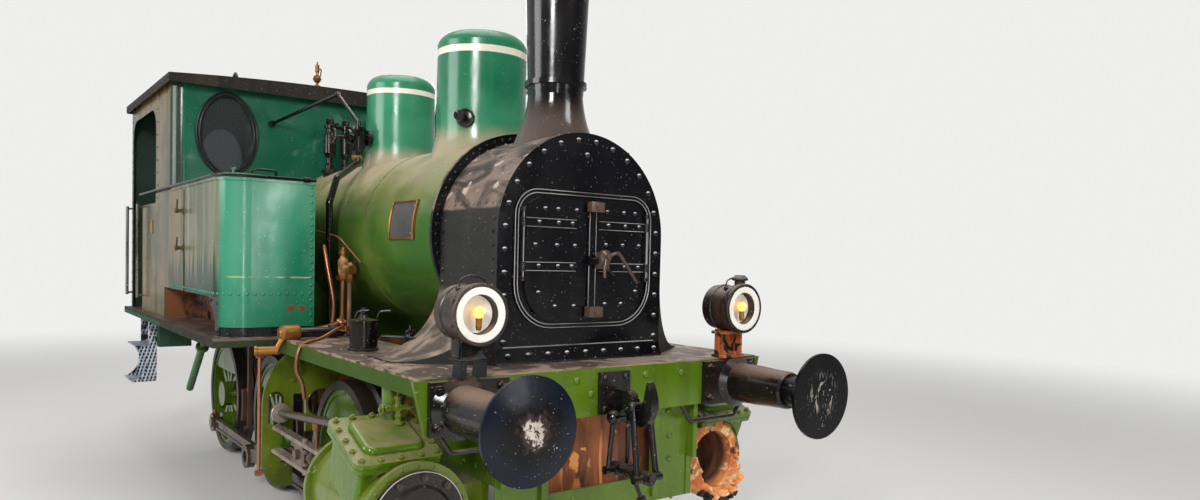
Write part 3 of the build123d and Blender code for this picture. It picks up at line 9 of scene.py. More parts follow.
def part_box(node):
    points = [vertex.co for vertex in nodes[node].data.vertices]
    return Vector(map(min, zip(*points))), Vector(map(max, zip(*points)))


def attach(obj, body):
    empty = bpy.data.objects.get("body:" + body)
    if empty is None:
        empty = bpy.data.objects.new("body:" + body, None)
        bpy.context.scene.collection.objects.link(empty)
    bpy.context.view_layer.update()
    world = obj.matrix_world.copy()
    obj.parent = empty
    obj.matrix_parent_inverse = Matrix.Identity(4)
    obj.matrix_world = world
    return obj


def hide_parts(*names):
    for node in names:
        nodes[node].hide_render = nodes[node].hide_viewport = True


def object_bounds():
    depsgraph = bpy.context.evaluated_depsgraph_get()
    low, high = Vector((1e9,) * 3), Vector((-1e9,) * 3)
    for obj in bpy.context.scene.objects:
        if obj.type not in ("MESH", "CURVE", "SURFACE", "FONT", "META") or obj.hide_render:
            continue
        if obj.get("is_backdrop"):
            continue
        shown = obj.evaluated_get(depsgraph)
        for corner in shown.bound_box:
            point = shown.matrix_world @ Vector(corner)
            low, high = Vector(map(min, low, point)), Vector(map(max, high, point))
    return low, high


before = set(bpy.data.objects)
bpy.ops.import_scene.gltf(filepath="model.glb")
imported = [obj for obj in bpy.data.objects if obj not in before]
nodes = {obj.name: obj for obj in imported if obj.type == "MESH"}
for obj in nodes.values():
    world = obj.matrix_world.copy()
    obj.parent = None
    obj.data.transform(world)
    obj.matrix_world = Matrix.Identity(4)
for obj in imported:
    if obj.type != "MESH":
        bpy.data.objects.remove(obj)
cad_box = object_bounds()

# Camera
# It stands low beside the front buffers, at the height of an eye, and looks back along the engine.
# The lens and the small upward shift give the same framing as the photograph, with level rails.
CAMERA_AT = Vector((-2.609, -6.014, 1.749))
CAMERA_YAW, CAMERA_PITCH, CAMERA_ROLL = (radians(a) for a in (-37.576, -1.988, 1.416))
CAMERA_LENS = 24.86
CAMERA_SHIFT_Y = 0.0321


def camera_turn():
    """Rotation of the camera from its yaw, pitch and roll."""
    right = Vector((cos(CAMERA_YAW), sin(CAMERA_YAW), 0))
    ahead = Vector((-sin(CAMERA_YAW) * cos(CAMERA_PITCH), cos(CAMERA_YAW) * cos(CAMERA_PITCH),
                    sin(CAMERA_PITCH)))
    up = right.cross(ahead)
    side = cos(CAMERA_ROLL) * right + sin(CAMERA_ROLL) * up
    top = cos(CAMERA_ROLL) * up - sin(CAMERA_ROLL) * right
    return Matrix((side, top, -ahead)).transposed().to_4x4()


def placed(name, data):
    """An object that stands in the scene."""
    made = bpy.data.objects.new(name, data)
    bpy.context.collection.objects.link(made)
    return made


lens = bpy.data.cameras.new("camera")
lens.sensor_width = 36
lens.lens = CAMERA_LENS
lens.shift_y = CAMERA_SHIFT_Y
camera = placed("camera", lens)
camera.matrix_world = Matrix.Translation(CAMERA_AT) @ camera_turn()
bpy.context.scene.camera = camera

# Studio
# A pale floor under a pale surround. A broad soft key light stands to the front left, with fill, side, top
# and back lights and two tall panels for the tank's gloss; the surround reflects darker behind the camera.
FLOOR_SIZE = 60.0
FLOOR_COLOUR = (0.7, 0.69, 0.67, 1)
SURROUND = (0.86, 0.86, 0.85, 1)
LIGHT_FROM_SURROUND = 0.42
REFLECTED_FRONT, REFLECTED_BACK = 0.12, 0.7
# Metres from the engine at which the floor starts to turn into the surround, and has turned into it.
FLOOR_CLEAR, FLOOR_FADED = 5.5, 15.0
LAMPS = (
    # name, place, aim, width, height, watts
    ("key", (-6.5, -7.5, 5.5), (0, -1.2, 1.3), 1.8, 2.6, 520),
    ("fill", (2.5, -9.5, 7.5), (0, -1.5, 1.3), 2.5, 2.5, 210),
    ("window", (1.05, -7.9, 2.1), (-1.06, -0.65, 1.8), 0.9, 1.4, 34),
    ("strip", (-3.05, -8.4, 2.0), (-1.2, -0.65, 1.75), 0.45, 2.4, 38),
    ("side", (-9.0, 1.5, 4.5), (0, 0.6, 1.6), 5.0, 4.0, 330),
    ("top", (0.0, -0.5, 8.5), (0, -0.2, 1.0), 5.0, 7.0, 270),
    ("back", (5.5, 8.0, 5.5), (0, 0.5, 1.5), 5.0, 5.0, 330),
)


def add_node(tree, kind, sockets=None, **settings):
    """One node of a material or of a geometry tree, with its settings made and its inputs set or linked."""
    made = tree.nodes.new(kind)
    for key, value in settings.items():
        setattr(made, key, value)
    for key, value in (sockets or {}).items():
        if isinstance(value, bpy.types.NodeSocket):
            tree.links.new(value, made.inputs[key])
        else:
            made.inputs[key].default_value = value
    return made


bpy.context.scene.view_settings.view_transform = "Standard"
world = bpy.data.worlds.new("surround")
bpy.context.scene.world = world
world.use_nodes = True
sky_tree = world.node_tree
ray = add_node(sky_tree, "ShaderNodeLightPath").outputs
seen = add_node(sky_tree, "ShaderNodeMath", {0: ray["Is Camera Ray"], 1: ray["Is Transmission Ray"]},
                operation="MAXIMUM").outputs[0]
direction = add_node(sky_tree, "ShaderNodeTexCoord").outputs["Generated"]
along = add_node(sky_tree, "ShaderNodeSeparateXYZ", {0: direction}).outputs["Y"]
room = add_node(sky_tree, "ShaderNodeMapRange", {
    "Value": along, "From Min": -0.5, "From Max": 0.5, "To Min": REFLECTED_FRONT, "To Max": REFLECTED_BACK,
}).outputs[0]
indirect = add_node(sky_tree, "ShaderNodeMix", {
    "Factor": ray["Is Glossy Ray"], "A": LIGHT_FROM_SURROUND, "B": room,
})
strength = add_node(sky_tree, "ShaderNodeMix", {"Factor": seen, "A": indirect.outputs["Result"], "B": 1})
sky = sky_tree.nodes["Background"]
sky.inputs["Color"].default_value = SURROUND
sky_tree.links.new(strength.outputs["Result"], sky.inputs["Strength"])

bpy.ops.mesh.primitive_plane_add(size=FLOOR_SIZE)
floor = bpy.context.object
floor.name = "floor"
floor_finish = bpy.data.materials.new("pale floor")
floor_finish.use_nodes = True
floor_shader = floor_finish.node_tree.nodes["Principled BSDF"]
floor_shader.inputs["Base Color"].default_value = FLOOR_COLOUR
floor_shader.inputs["Roughness"].default_value = 0.75
floor_tree = floor_finish.node_tree
spot = add_node(floor_tree, "ShaderNodeTexCoord").outputs["Object"]
distance = add_node(floor_tree, "ShaderNodeVectorMath", {0: spot}, operation="LENGTH").outputs["Value"]
far = add_node(floor_tree, "ShaderNodeMapRange", {
    "Value": distance, "From Min": FLOOR_CLEAR, "From Max": FLOOR_FADED,
}, interpolation_type="SMOOTHSTEP").outputs[0]
by_camera = add_node(floor_tree, "ShaderNodeLightPath").outputs["Is Camera Ray"]
fade = add_node(floor_tree, "ShaderNodeMath", {0: far, 1: by_camera}, operation="MULTIPLY").outputs[0]
glow = add_node(floor_tree, "ShaderNodeEmission", {"Color": SURROUND, "Strength": 1.0}).outputs[0]
blend = add_node(floor_tree, "ShaderNodeMixShader",
                 {0: fade, 1: floor_shader.outputs[0], 2: glow}).outputs[0]
floor_tree.links.new(blend, floor_tree.nodes["Material Output"].inputs["Surface"])
floor.data.materials.append(floor_finish)
floor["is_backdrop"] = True

for name, place, aim, width, height, watts in LAMPS:
    light = bpy.data.lights.new(name, "AREA")
    light.shape = "RECTANGLE"
    light.size = width
    light.size_y = height
    light.energy = watts
    stand = placed(name, light)
    stand.location = place
    stand.rotation_euler = (Vector(aim) - Vector(place)).to_track_quat("-Z", "Y").to_euler()

# Boiler barrel and firebox
# Clad in thin sheet held by two bands, brush painted in a yellow green that has kept its gloss on the flanks.
# Years of pale dust lie on its upper half, run down it in soft streaks and end in a few white scratches.
BARREL_GREEN = (56, 92, 30)
BARREL_FADED = (88, 116, 44)
TOP_DUST = (172, 156, 130)
BARREL_Z, BARREL_RADIUS = 1.878, 0.578


def srgb(red, green, painted_blue_reflection):
    """A paint colour from its 0 to 255 screen values."""
    parts = (c / 255 for c in (red, green, painted_blue_reflection))
    return tuple((c / 12.92 if c < 0.0405 else ((c + 0.055) / 1.055) ** 2.4) for c in parts) + (1,)


class Finish:
    """A material under construction: each method adds nodes and returns the socket that they end in."""

    def __init__(self, name):
        self.material = bpy.data.materials.new(name)
        self.material.use_nodes = True
        self.tree = self.material.node_tree
        self.shader = self.tree.nodes["Principled BSDF"]
        coordinates = self.tree.nodes.new("ShaderNodeTexCoord").outputs
        self.place = coordinates["Object"]
        self.x, self.y, self.z = self.node("SeparateXYZ", {"Vector": self.place}).outputs
        facing = self.node("SeparateXYZ", {"Vector": coordinates["Normal"]}).outputs
        self.sideways, self.lengthwise, self.upwards = facing

    def node(self, kind, sockets=None, **settings):
        """A shader node of this material."""
        return add_node(self.tree, "ShaderNode" + kind, sockets, **settings)

    def noise(self, scale, detail=4.0, stretch=(1, 1, 1), distortion=0.0):
        """Cloudy pattern around 0.5; stretch squeezes it along an axis."""
        where = self.node("Mapping", {"Vector": self.place, "Scale": stretch}).outputs[0]
        return self.node("TexNoise", {"Vector": where, "Scale": scale, "Detail": detail,
                                      "Distortion": distortion}).outputs["Fac"]

    def between(self, value, low, high, to_low=0.0, to_high=1.0):
        """Value spread from the range low to high onto another range, held at its ends."""
        return self.node("MapRange", {"Value": value, "From Min": low, "From Max": high, "To Min": to_low,
                                      "To Max": to_high}, interpolation_type="SMOOTHSTEP").outputs[0]

    def cloud(self, scale, detail, low, high, to_low=0.0, to_high=1.0, stretch=(1, 1, 1), distortion=0.0):
        """Patches: the cloudy pattern between two of its levels."""
        return self.between(self.noise(scale, detail, stretch, distortion), low, high, to_low, to_high)

    def math(self, operation, a, b=0.0):
        """One sum on two masks or numbers."""
        return self.node("Math", {0: a, 1: b}, operation=operation).outputs[0]

    def plus(self, a, b):
        """Sum of two masks or numbers."""
        return self.math("ADD", a, b)

    def off(self, value):
        """Distance from zero, the same on both sides of the engine."""
        return self.math("ABSOLUTE", value)

    def times(self, *values):
        """Product of masks."""
        product = values[0]
        for value in values[1:]:
            product = self.math("MULTIPLY", product, value)
        return product

    def mix(self, amount, a, b):
        """Colour a turning to colour b; three numbers are a paint colour in screen values."""
        a, b = (srgb(*colour) if isinstance(colour, tuple) and len(colour) == 3 else colour
                for colour in (a, b))
        return self.node("Mix", {"Factor": amount, 6: a, 7: b}, data_type="RGBA").outputs[2]

    def surface(self, colour, roughness, height=None, depth=0.002, **sockets):
        """Joins the layers to the shader; plain numbers are set by their socket's name."""
        self.tree.links.new(colour, self.shader.inputs["Base Color"])
        self.tree.links.new(roughness, self.shader.inputs["Roughness"])
        if height is not None:
            bump = self.node("Bump", {"Height": height, "Distance": depth, "Strength": 1.0})
            self.tree.links.new(bump.outputs[0], self.shader.inputs["Normal"])
        for key, value in sockets.items():
            self.shader.inputs[key.replace("_", " ")].default_value = value
        return self.material


def old_paint(name, colour, faded, dust=0.0, dust_colour=(158, 140, 118), streaks=0.0,
              streak_colour=(96, 84, 70), side_dull=0.0, chips=0.0, chip_colour=(128, 84, 56), specks=0.0,
              gloss=0.25, extra=None, **sockets):
    """Brushed gloss paint: patchy colour, dust on what faces up, runs of dirt, a few chips and specks."""
    made = Finish(name)
    tone = made.mix(made.cloud(1.3, 5, 0.38, 0.66, distortion=0.4), colour, faded)
    if extra:
        tone = extra(made, tone)
    upright = made.between(made.off(made.upwards), 0.85, 0.3)
    runs = made.cloud(5.5, 6, 0.44, 0.72, stretch=(1.6, 1.6, 0.13))
    dirt = made.times(runs, upright, streaks)
    tone = made.mix(dirt, tone, streak_colour)
    drift = made.between(made.plus(made.upwards, made.times(made.noise(3.2, 6), 0.8)), 0.75, 1.45)
    dusty = made.times(drift, dust)
    tone = made.mix(dusty, tone, dust_colour)
    flake = made.cloud(15.0, 6, 0.735 - 0.05 * chips, 0.745 - 0.05 * chips, 0, min(1, chips * 3),
                       distortion=0.3)
    tone = made.mix(flake, tone, chip_colour)
    if specks:
        speck = made.cloud(95.0, 2, 0.7, 0.74, 0, specks)
        tone = made.mix(speck, tone, (205, 200, 188))
    matt = made.math("MAXIMUM", made.math("MAXIMUM", dusty, flake), made.times(dirt, 0.8))
    uneven = made.cloud(7.0, 3, 0.3, 0.7, gloss, gloss + 0.1)
    roughness = made.plus(uneven, made.times(matt, 0.42))
    height = made.math("SUBTRACT", made.times(made.noise(34.0, 3), 0.1), made.times(flake, 0.25))
    if side_dull:
        shine = made.between(made.off(made.sideways), 0.8, 0.99, 0.5, 0.5 - 0.5 * side_dull)
        made.tree.links.new(shine, made.shader.inputs["Specular IOR Level"])
    return made.surface(tone, roughness, height, 0.004, **sockets)


def paint(finish, *names):
    """Puts a finish on the slots of the named CAD nodes."""
    for name in names:
        mesh = nodes[name].data
        mesh.materials.clear()
        mesh.materials.append(finish)


def barrel_scratches(made, tone):
    """Olive film below the dust, and short white scratches that run down the flank."""
    ragged = made.plus(made.upwards, made.times(made.noise(2.2, 6, distortion=0.8), 0.7))
    tone = made.mix(made.between(ragged, 0.4, 1.05, 0, 0.85), tone, (134, 132, 84))
    grime = made.times(made.cloud(2.6, 7, 0.52, 0.68, 0, 0.6, distortion=1.0),
                       made.between(made.upwards, -0.1, 0.35))
    tone = made.mix(grime, tone, (104, 96, 66))
    scrape = made.cloud(9.0, 7, 0.715, 0.73, stretch=(1, 2.2, 0.28), distortion=0.6)
    band = made.times(made.between(made.upwards, 0.1, 0.3), made.between(made.upwards, 0.8, 0.6))
    return made.mix(made.times(scrape, band), tone, (214, 214, 196))


barrel_paint = old_paint("barrel paint", BARREL_GREEN, BARREL_FADED, dust=0.95, dust_colour=TOP_DUST,
                         streaks=0.12, chips=0.05, gloss=0.14, extra=barrel_scratches)
paint(barrel_paint, "boiler_barrel", "firebox")

# Smokebox
# Riveted plate: the front is kept black and glossy, the wrapper has gone dull brown under scraped dust.
# A lap seam runs along each side with close rivets above it, and a foot strip stands on the platform.
SMOKEBOX = {"front": -2.485, "back": -1.875, "radius": 0.535, "edge": 0.493, "foot": 1.325}
SEAM_Z = 1.998
RING_RADIUS = 0.562
FRONT_BLACK = (5, 6, 9)


def smokebox_sheet(name):
    """Glossy black on what faces forward, scraped brown dust on the curved wrapper."""
    made = Finish(name)
    black = made.mix(made.cloud(2.0, 4, 0.4, 0.7), FRONT_BLACK, (11, 12, 17))
    forward = made.between(made.off(made.lengthwise), 0.8, 0.95)
    scrape = made.cloud(6.0, 9, 0.4, 0.64, stretch=(1.5, 0.6, 1.2), distortion=1.4)
    brown = made.mix(scrape, (118, 101, 90), (46, 38, 33))
    pale = made.cloud(13.0, 8, 0.6, 0.66, stretch=(1, 0.5, 1), distortion=0.8)
    brown = made.mix(pale, brown, (176, 156, 142))
    lower = made.mix(made.cloud(4.0, 5, 0.4, 0.65, stretch=(1, 1, 0.3)), (9, 8, 7), (26, 22, 19))
    wrapper = made.mix(made.between(made.z, SEAM_Z - 0.01, SEAM_Z + 0.01), lower, brown)
    skirt = made.times(made.between(made.upwards, 0.08, 0.3), made.between(made.z, 1.76, 1.62))
    dusted = made.mix(made.cloud(8.0, 6, 0.36, 0.62, stretch=(1, 1, 0.4), distortion=0.6), (142, 124, 110),
                      (72, 61, 54))
    wrapper = made.mix(skirt, wrapper, dusted)
    tone = made.mix(forward, wrapper, black)
    speck = made.times(made.cloud(80.0, 2, 0.69, 0.73), 0.5)
    tone = made.mix(speck, tone, (150, 146, 140))
    shine = made.cloud(5.0, 4, 0.3, 0.7, 0.13, 0.26)
    roughness = made.node("Mix", {"Factor": forward, "A": 0.66, "B": shine}).outputs[0]
    height = made.plus(made.times(made.noise(16.0, 4), 0.16),
                       made.times(scrape, made.math("SUBTRACT", 1.0, forward), 0.3))
    return made.surface(tone, roughness, height, 0.004)


smokebox_paint = smokebox_sheet("smokebox sheet")
paint(smokebox_paint, "smokebox", "smokebox_ring", "smokebox_saddle")
black_gloss = old_paint("black gloss", FRONT_BLACK, (11, 12, 16), dust=0.3, streaks=0.12,
                        streak_colour=(50, 44, 40), specks=0.4, gloss=0.14, dust_colour=(120, 106, 96))


def head_tree(name, shape):
    """Geometry nodes: one head on each point, or spaced along each line, turned to face outwards."""
    tree = bpy.data.node_groups.new(name, "GeometryNodeTree")
    face = tree.interface
    face.new_socket("Geometry", in_out="INPUT", socket_type="NodeSocketGeometry")
    for label in ("Spacing", "Radius", "Height"):
        face.new_socket(label, in_out="INPUT", socket_type="NodeSocketFloat")
    face.new_socket("Along lines", in_out="INPUT", socket_type="NodeSocketBool")
    face.new_socket("Finish", in_out="INPUT", socket_type="NodeSocketMaterial")
    face.new_socket("Seed", in_out="INPUT", socket_type="NodeSocketInt")
    face.new_socket("Geometry", in_out="OUTPUT", socket_type="NodeSocketGeometry")
    given = tree.nodes.new("NodeGroupInput").outputs

    def node(kind, sockets=None, **settings):
        """A node of this tree."""
        return add_node(tree, kind, sockets, **settings)

    line = node("GeometryNodeMeshToCurve", {"Mesh": given["Geometry"]})
    spaced = node("GeometryNodeResampleCurve", {"Curve": line.outputs[0], "Length": given["Spacing"]},
                  mode="LENGTH")
    where = node("GeometryNodeSwitch", {"Switch": given["Along lines"], "False": given["Geometry"],
                                        "True": spaced.outputs[0]}, input_type="GEOMETRY")
    outwards = node("GeometryNodeInputNamedAttribute", {"Name": "outwards"}, data_type="FLOAT_VECTOR")
    turn = node("FunctionNodeAlignRotationToVector", {"Vector": outwards.outputs[0]}, axis="Z")
    squash = node("ShaderNodeCombineXYZ", {"X": given["Radius"], "Y": given["Radius"], "Z": given["Height"]})
    if shape == "rivet":
        head = node("GeometryNodeMeshUVSphere", {"Segments": 9, "Rings": 5, "Radius": 1.0}).outputs[0]
        rotation = turn.outputs[0]
    else:
        nut = node("GeometryNodeMeshCylinder", {"Vertices": 6, "Radius": 1.0, "Depth": 1.0})
        stud = node("GeometryNodeMeshCylinder", {"Vertices": 8, "Radius": 0.5, "Depth": 2.0})
        head = node("GeometryNodeJoinGeometry")
        tree.links.new(nut.outputs[0], head.inputs[0])
        tree.links.new(stud.outputs[0], head.inputs[0])
        head = node("GeometryNodeTransform",
                    {"Geometry": head.outputs[0], "Translation": (0, 0, 0.4)}).outputs[0]
        spin = node("FunctionNodeRandomValue", {"Seed": given["Seed"]}, data_type="FLOAT")
        spin.inputs[3].default_value = 1.05
        about = node("FunctionNodeAxisAngleToRotation", {"Axis": (0, 0, 1), "Angle": spin.outputs[1]})
        rotation = node("FunctionNodeRotateRotation", {0: turn.outputs[0], 1: about.outputs[0]},
                        rotation_space="LOCAL").outputs[0]
    heads = node("GeometryNodeInstanceOnPoints", {"Points": where.outputs[0], "Instance": head,
                                                  "Rotation": rotation, "Scale": squash.outputs[0]})
    whole = node("GeometryNodeRealizeInstances", {"Geometry": heads.outputs[0]})
    smooth = node("GeometryNodeSetShadeSmooth",
                  {"Geometry": whole.outputs[0], "Shade Smooth": shape == "rivet"})
    coated = node("GeometryNodeSetMaterial", {"Geometry": smooth.outputs[0], "Material": given["Finish"]})
    tree.links.new(coated.outputs[0], tree.nodes.new("NodeGroupOutput").inputs["Geometry"])
    return tree


rivet_tree = head_tree("rivet heads", "rivet")
nut_tree = head_tree("nuts on studs", "nut")


def heads(name, finish, slot, lines=(), points=(), spacing=0.1, size=(0.012, 0.008), body="chassis",
          tree=rivet_tree, seed=3):
    """Heads of a radius and height that ride on one body; lines and points hold (place, way) pairs."""
    mesh = bpy.data.meshes.new(name)
    marks, edges = [], []
    for line in lines:
        edges += [(i, i + 1) for i in range(len(marks), len(marks) + len(line) - 1)]
        marks += line
    marks += list(points)
    mesh.from_pydata([tuple(place) for place, way in marks], edges, [])
    ways = mesh.attributes.new("outwards", "FLOAT_VECTOR", "POINT")
    ways.data.foreach_set("vector", [c for place, way in marks for c in way])
    made = placed(name, mesh)
    modifier = made.modifiers.new("heads", "NODES")
    modifier.node_group = tree
    values = {"Spacing": spacing, "Radius": size[0], "Height": size[1], "Along lines": bool(lines),
              "Finish": finish, "Seed": seed}
    for socket in tree.interface.items_tree:
        if socket.in_out == "INPUT" and socket.name in values:
            modifier[socket.identifier] = values[socket.name]
    made.update_tag()
    ready = made.evaluated_get(bpy.context.evaluated_depsgraph_get())
    made.data = bpy.data.meshes.new_from_object(ready)
    made.modifiers.clear()
    made.data.materials.clear()
    made.data.materials.append(finish)
    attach(made, body)
    return made


def arc_line(radius, y, z, start, stop, steps=24, way=None):
    """Line round the boiler's axis between two angles from the top; it faces outwards unless told a way."""
    line = []
    for i in range(steps + 1):
        angle = radians(start + (stop - start) * i / steps)
        out = Vector((sin(angle), 0, cos(angle)))
        line.append((Vector((0, y, z)) + out * radius, way or out))
    return line


def landing(name, start, way):
    """Where a straight line first meets a CAD piece."""
    return nodes[name].ray_cast(Vector(start), Vector(way).normalized())[1]


FORWARD = Vector((0, -1, 0))
UP = Vector((0, 0, 1))
front, back, shell, edge, foot = SMOKEBOX.values()


def spots(way, *places):
    """Marks for fastener heads that all face one way."""
    return [(Vector(place), way) for place in places]


front_row = spots(FORWARD, (-edge, front, foot))
front_row += arc_line(edge, front, BARREL_Z, -90, 90, way=FORWARD)
front_row += spots(FORWARD, (edge, front, foot))
foot_face = min(landing(name, (0.2, -3.3, 1.256), (0, 1, 0)).y for name in ("smokebox", "smokebox_saddle"))
foot_row = spots(FORWARD, (-0.47, foot_face, 1.256), (0.49, foot_face, 1.256))


def painted_highlight_tops(made, tone):
    """Painted highlight: the heads turn pale grey where they face up."""
    return made.mix(made.between(made.upwards, 0.3, 0.62), tone, (206, 204, 206))


# Rivet heads with a painted highlight on their tops and chips of real wear.
highlit_rivet_black = old_paint("rivets with painted highlights", (16, 16, 19), (30, 29, 31), chips=0.4, chip_colour=(120, 100, 90),
                        gloss=0.14, extra=painted_highlight_tops)
heads("smokebox_front_rivets", highlit_rivet_black, "black_paint", lines=[front_row, foot_row], spacing=0.112,
      size=(0.017, 0.011))
heads("smokebox_front_single_rivet", highlit_rivet_black, "black_paint", points=spots(FORWARD, (0, front, 2.295)),
      size=(0.017, 0.011))
RIVET_ROWS = (front + 0.04, back - 0.035)
wrapper_rows = [arc_line(shell, y, BARREL_Z, -90, 90) for y in RIVET_ROWS]
for side in (-1, 1):
    out = Vector((side * 0.515, 0, 0.145)).normalized()
    place = Vector((0, 0, BARREL_Z)) + out * shell
    wrapper_rows.append([(place + Vector((0, front + 0.02, 0)), out),
                         (place + Vector((0, back - 0.06, 0)), out)])
    wrapper_rows += [spots(Vector((side, 0, 0)), (side * shell, y, 1.34), (side * shell, y, BARREL_Z))
                     for y in RIVET_ROWS]
heads("smokebox_wrapper_rivets", smokebox_paint, "dusty_black", lines=wrapper_rows, spacing=0.062,
      size=(0.011, 0.007))
heads("ring_rivets", black_gloss, "black_paint",
      lines=[arc_line(RING_RADIUS, back, BARREL_Z, -150, 150, 60, FORWARD)], spacing=0.052,
      size=(0.01, 0.007))


def finished(name, shape, finish, body="chassis", smooth=35):
    """Turns a finished bmesh into a piece with one finish that rides on a body."""
    bmesh.ops.remove_doubles(shape, verts=shape.verts, dist=1e-6)
    bmesh.ops.recalc_face_normals(shape, faces=shape.faces)
    mesh = bpy.data.meshes.new(name)
    shape.to_mesh(mesh)
    shape.free()
    mesh.polygons.foreach_set("use_smooth", [True] * len(mesh.polygons))
    mesh.set_sharp_from_angle(angle=radians(smooth))
    mesh.materials.append(finish)
    made = placed(name, mesh)
    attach(made, body)
    return made


def rounded(points, bend):
    """Route with each inner corner replaced by a short arc of about that size."""
    points = [Vector(p) for p in points]
    route = [points[0]]
    for before, corner, after in zip(points, points[1:], points[2:]):
        a = corner + (before - corner).normalized() * min(bend, (before - corner).length * 0.45)
        b = corner + (after - corner).normalized() * min(bend, (after - corner).length * 0.45)
        route += [a.lerp(corner, t).lerp(corner.lerp(b, t), t) for t in (0, 0.2, 0.4, 0.6, 0.8, 1)]
    return route + [points[-1]]


def tube(shape, points, radius, sides=12, closed=False):
    """Round bar or pipe along a route, capped at its ends."""
    def apart(ring, following, turn):
        """How far two rings lie apart when the second is turned by some corners."""
        return sum((ring[k].co - following[(k + turn) % sides].co).length for k in range(0, sides, 3))

    points = [Vector(p) for p in points]
    count = len(points)
    rings = []
    across = None
    for i, point in enumerate(points):
        before = points[i - 1] if closed or i else point
        after = points[(i + 1) % count] if closed or i < count - 1 else point
        ahead = (after - before).normalized()
        across = ahead.orthogonal() if across is None else across - ahead * across.dot(ahead)
        across.normalize()
        up = ahead.cross(across)
        rings.append([shape.verts.new(point + (across * cos(a) + up * sin(a)) * radius)
                      for a in (2 * pi * k / sides for k in range(sides))])
    for i in range(count if closed else count - 1):
        a, b = rings[i], rings[(i + 1) % count]
        shift = min(range(sides), key=lambda turn: apart(a, b, turn))
        for k in range(sides):
            shape.faces.new((a[k], a[(k + 1) % sides], b[(k + 1 + shift) % sides], b[(k + shift) % sides]))
    if not closed:
        shape.faces.new(rings[0])
        shape.faces.new(rings[-1])
    return shape


wire = [(0.02, front + 0.1, 2.418), (0.1, front + 0.09, 2.412), (0.24, front + 0.12, 2.362),
        (0.3, front + 0.02, 2.335)]
finished("smokebox_top_wire", tube(bmesh.new(), rounded(wire, 0.04), 0.006), smokebox_paint)

# Smokebox doors
# Two plate leaves with strap hinges and rows of large rivets, shut by an upright bar between two clamps.
# The bar, its boss and the long lever are chipped to bare metal and ride on the left leaf; pale beads along
# the edges of the bar, straps and moulding are painted highlights on rubbed paint.
LEAF_Y, STRAP_Y = -2.4973, -2.5063
DOOR_RIVETS = {
    # leaf: (places across, height) on the sheet
    "right": [((-0.265, -0.186, -0.068), 2.0), ((-0.321, -0.19, -0.076), 1.815),
              ((-0.298,), 1.572), ((-0.195, -0.075), 1.5)],
    "left": [((0.133, 0.248, 0.327), 2.003), ((0.13, 0.244, 0.36), 1.826),
             ((0.341,), 1.575), ((0.13, 0.24), 1.508)],
}
STRAP_HEIGHTS = (1.708, 1.93)
STRAP_RIVETS = {"right": (-0.305, -0.187, -0.1), "left": (0.136, 0.253, 0.35)}
paint(black_gloss, "smokebox_door_right", "smokebox_door_left", "door_brackets")
worn_black = old_paint("worn black", (20, 18, 20), (92, 72, 60), dust=0.2, streaks=0.3,
                       streak_colour=(84, 62, 48), chips=1.0, chip_colour=(196, 160, 136), specks=0.9,
                       gloss=0.18)
for leaf, rows in DOOR_RIVETS.items():
    points = [(Vector((x, LEAF_Y, z)), FORWARD) for across, z in rows for x in across]
    points += [(Vector((x, STRAP_Y, z)), FORWARD) for x in STRAP_RIVETS[leaf] for z in STRAP_HEIGHTS]
    # The door rivets carry the same painted highlight on their tops.
    heads("door_rivets_" + leaf, highlit_rivet_black, "black_paint", points=points, size=(0.014, 0.01),
          body="smokebox_door_" + leaf)


def lathe(shape, outline, centre, axis, sides=32):
    """Turned solid: outline holds (radius, distance along the axis) pairs."""
    axis = Vector(axis).normalized()
    across = axis.orthogonal().normalized()
    up = axis.cross(across)
    previous = None
    for radius, along in outline:
        middle = Vector(centre) + axis * along
        if radius < 1e-6:
            ring = [shape.verts.new(middle)]
        else:
            ring = [shape.verts.new(middle + (across * cos(a) + up * sin(a)) * radius)
                    for a in (2 * pi * k / sides for k in range(sides))]
        if previous and len(previous) > 1 and len(ring) > 1:
            for k in range(sides):
                shape.faces.new((previous[k], previous[(k + 1) % sides], ring[(k + 1) % sides], ring[k]))
        elif previous and len(previous) + len(ring) > 2:
            tip, rim = (previous[0], ring) if len(previous) == 1 else (ring[0], previous)
            for k in range(sides):
                shape.faces.new((rim[k], rim[(k + 1) % sides], tip))
        previous = ring
    return shape


def disc(shape, radius, low, high, centre, axis, sides=32):
    """Plain turned disc between two distances along its axis."""
    return lathe(shape, [(0, low), (radius, low), (radius, high), (0, high)], centre, axis, sides)


def slab(shape, outline, depth):
    """Flat plate: outline points in order, moved by depth to its other face."""
    near = [shape.verts.new(Vector(p)) for p in outline]
    far = [shape.verts.new(Vector(p) + Vector(depth)) for p in outline]
    shape.faces.new(near)
    shape.faces.new(far)
    for i in range(len(near)):
        j = (i + 1) % len(near)
        shape.faces.new((near[i], near[j], far[j], far[i]))
    return shape


def brick(shape, low, high):
    """Rectangular lump with slightly broken edges."""
    (x0, y0, z0), (x1, y1, z1) = low, high
    start = len(shape.edges)
    slab(shape, [(x0, y0, z0), (x1, y0, z0), (x1, y1, z0), (x0, y1, z0)], (0, 0, z1 - z0))
    shape.edges.ensure_lookup_table()
    bmesh.ops.bevel(shape, geom=shape.edges[start:], offset=min(0.003, 0.2 * min(x1 - x0, y1 - y0, z1 - z0)),
                    segments=1, affect="EDGES")
    return shape


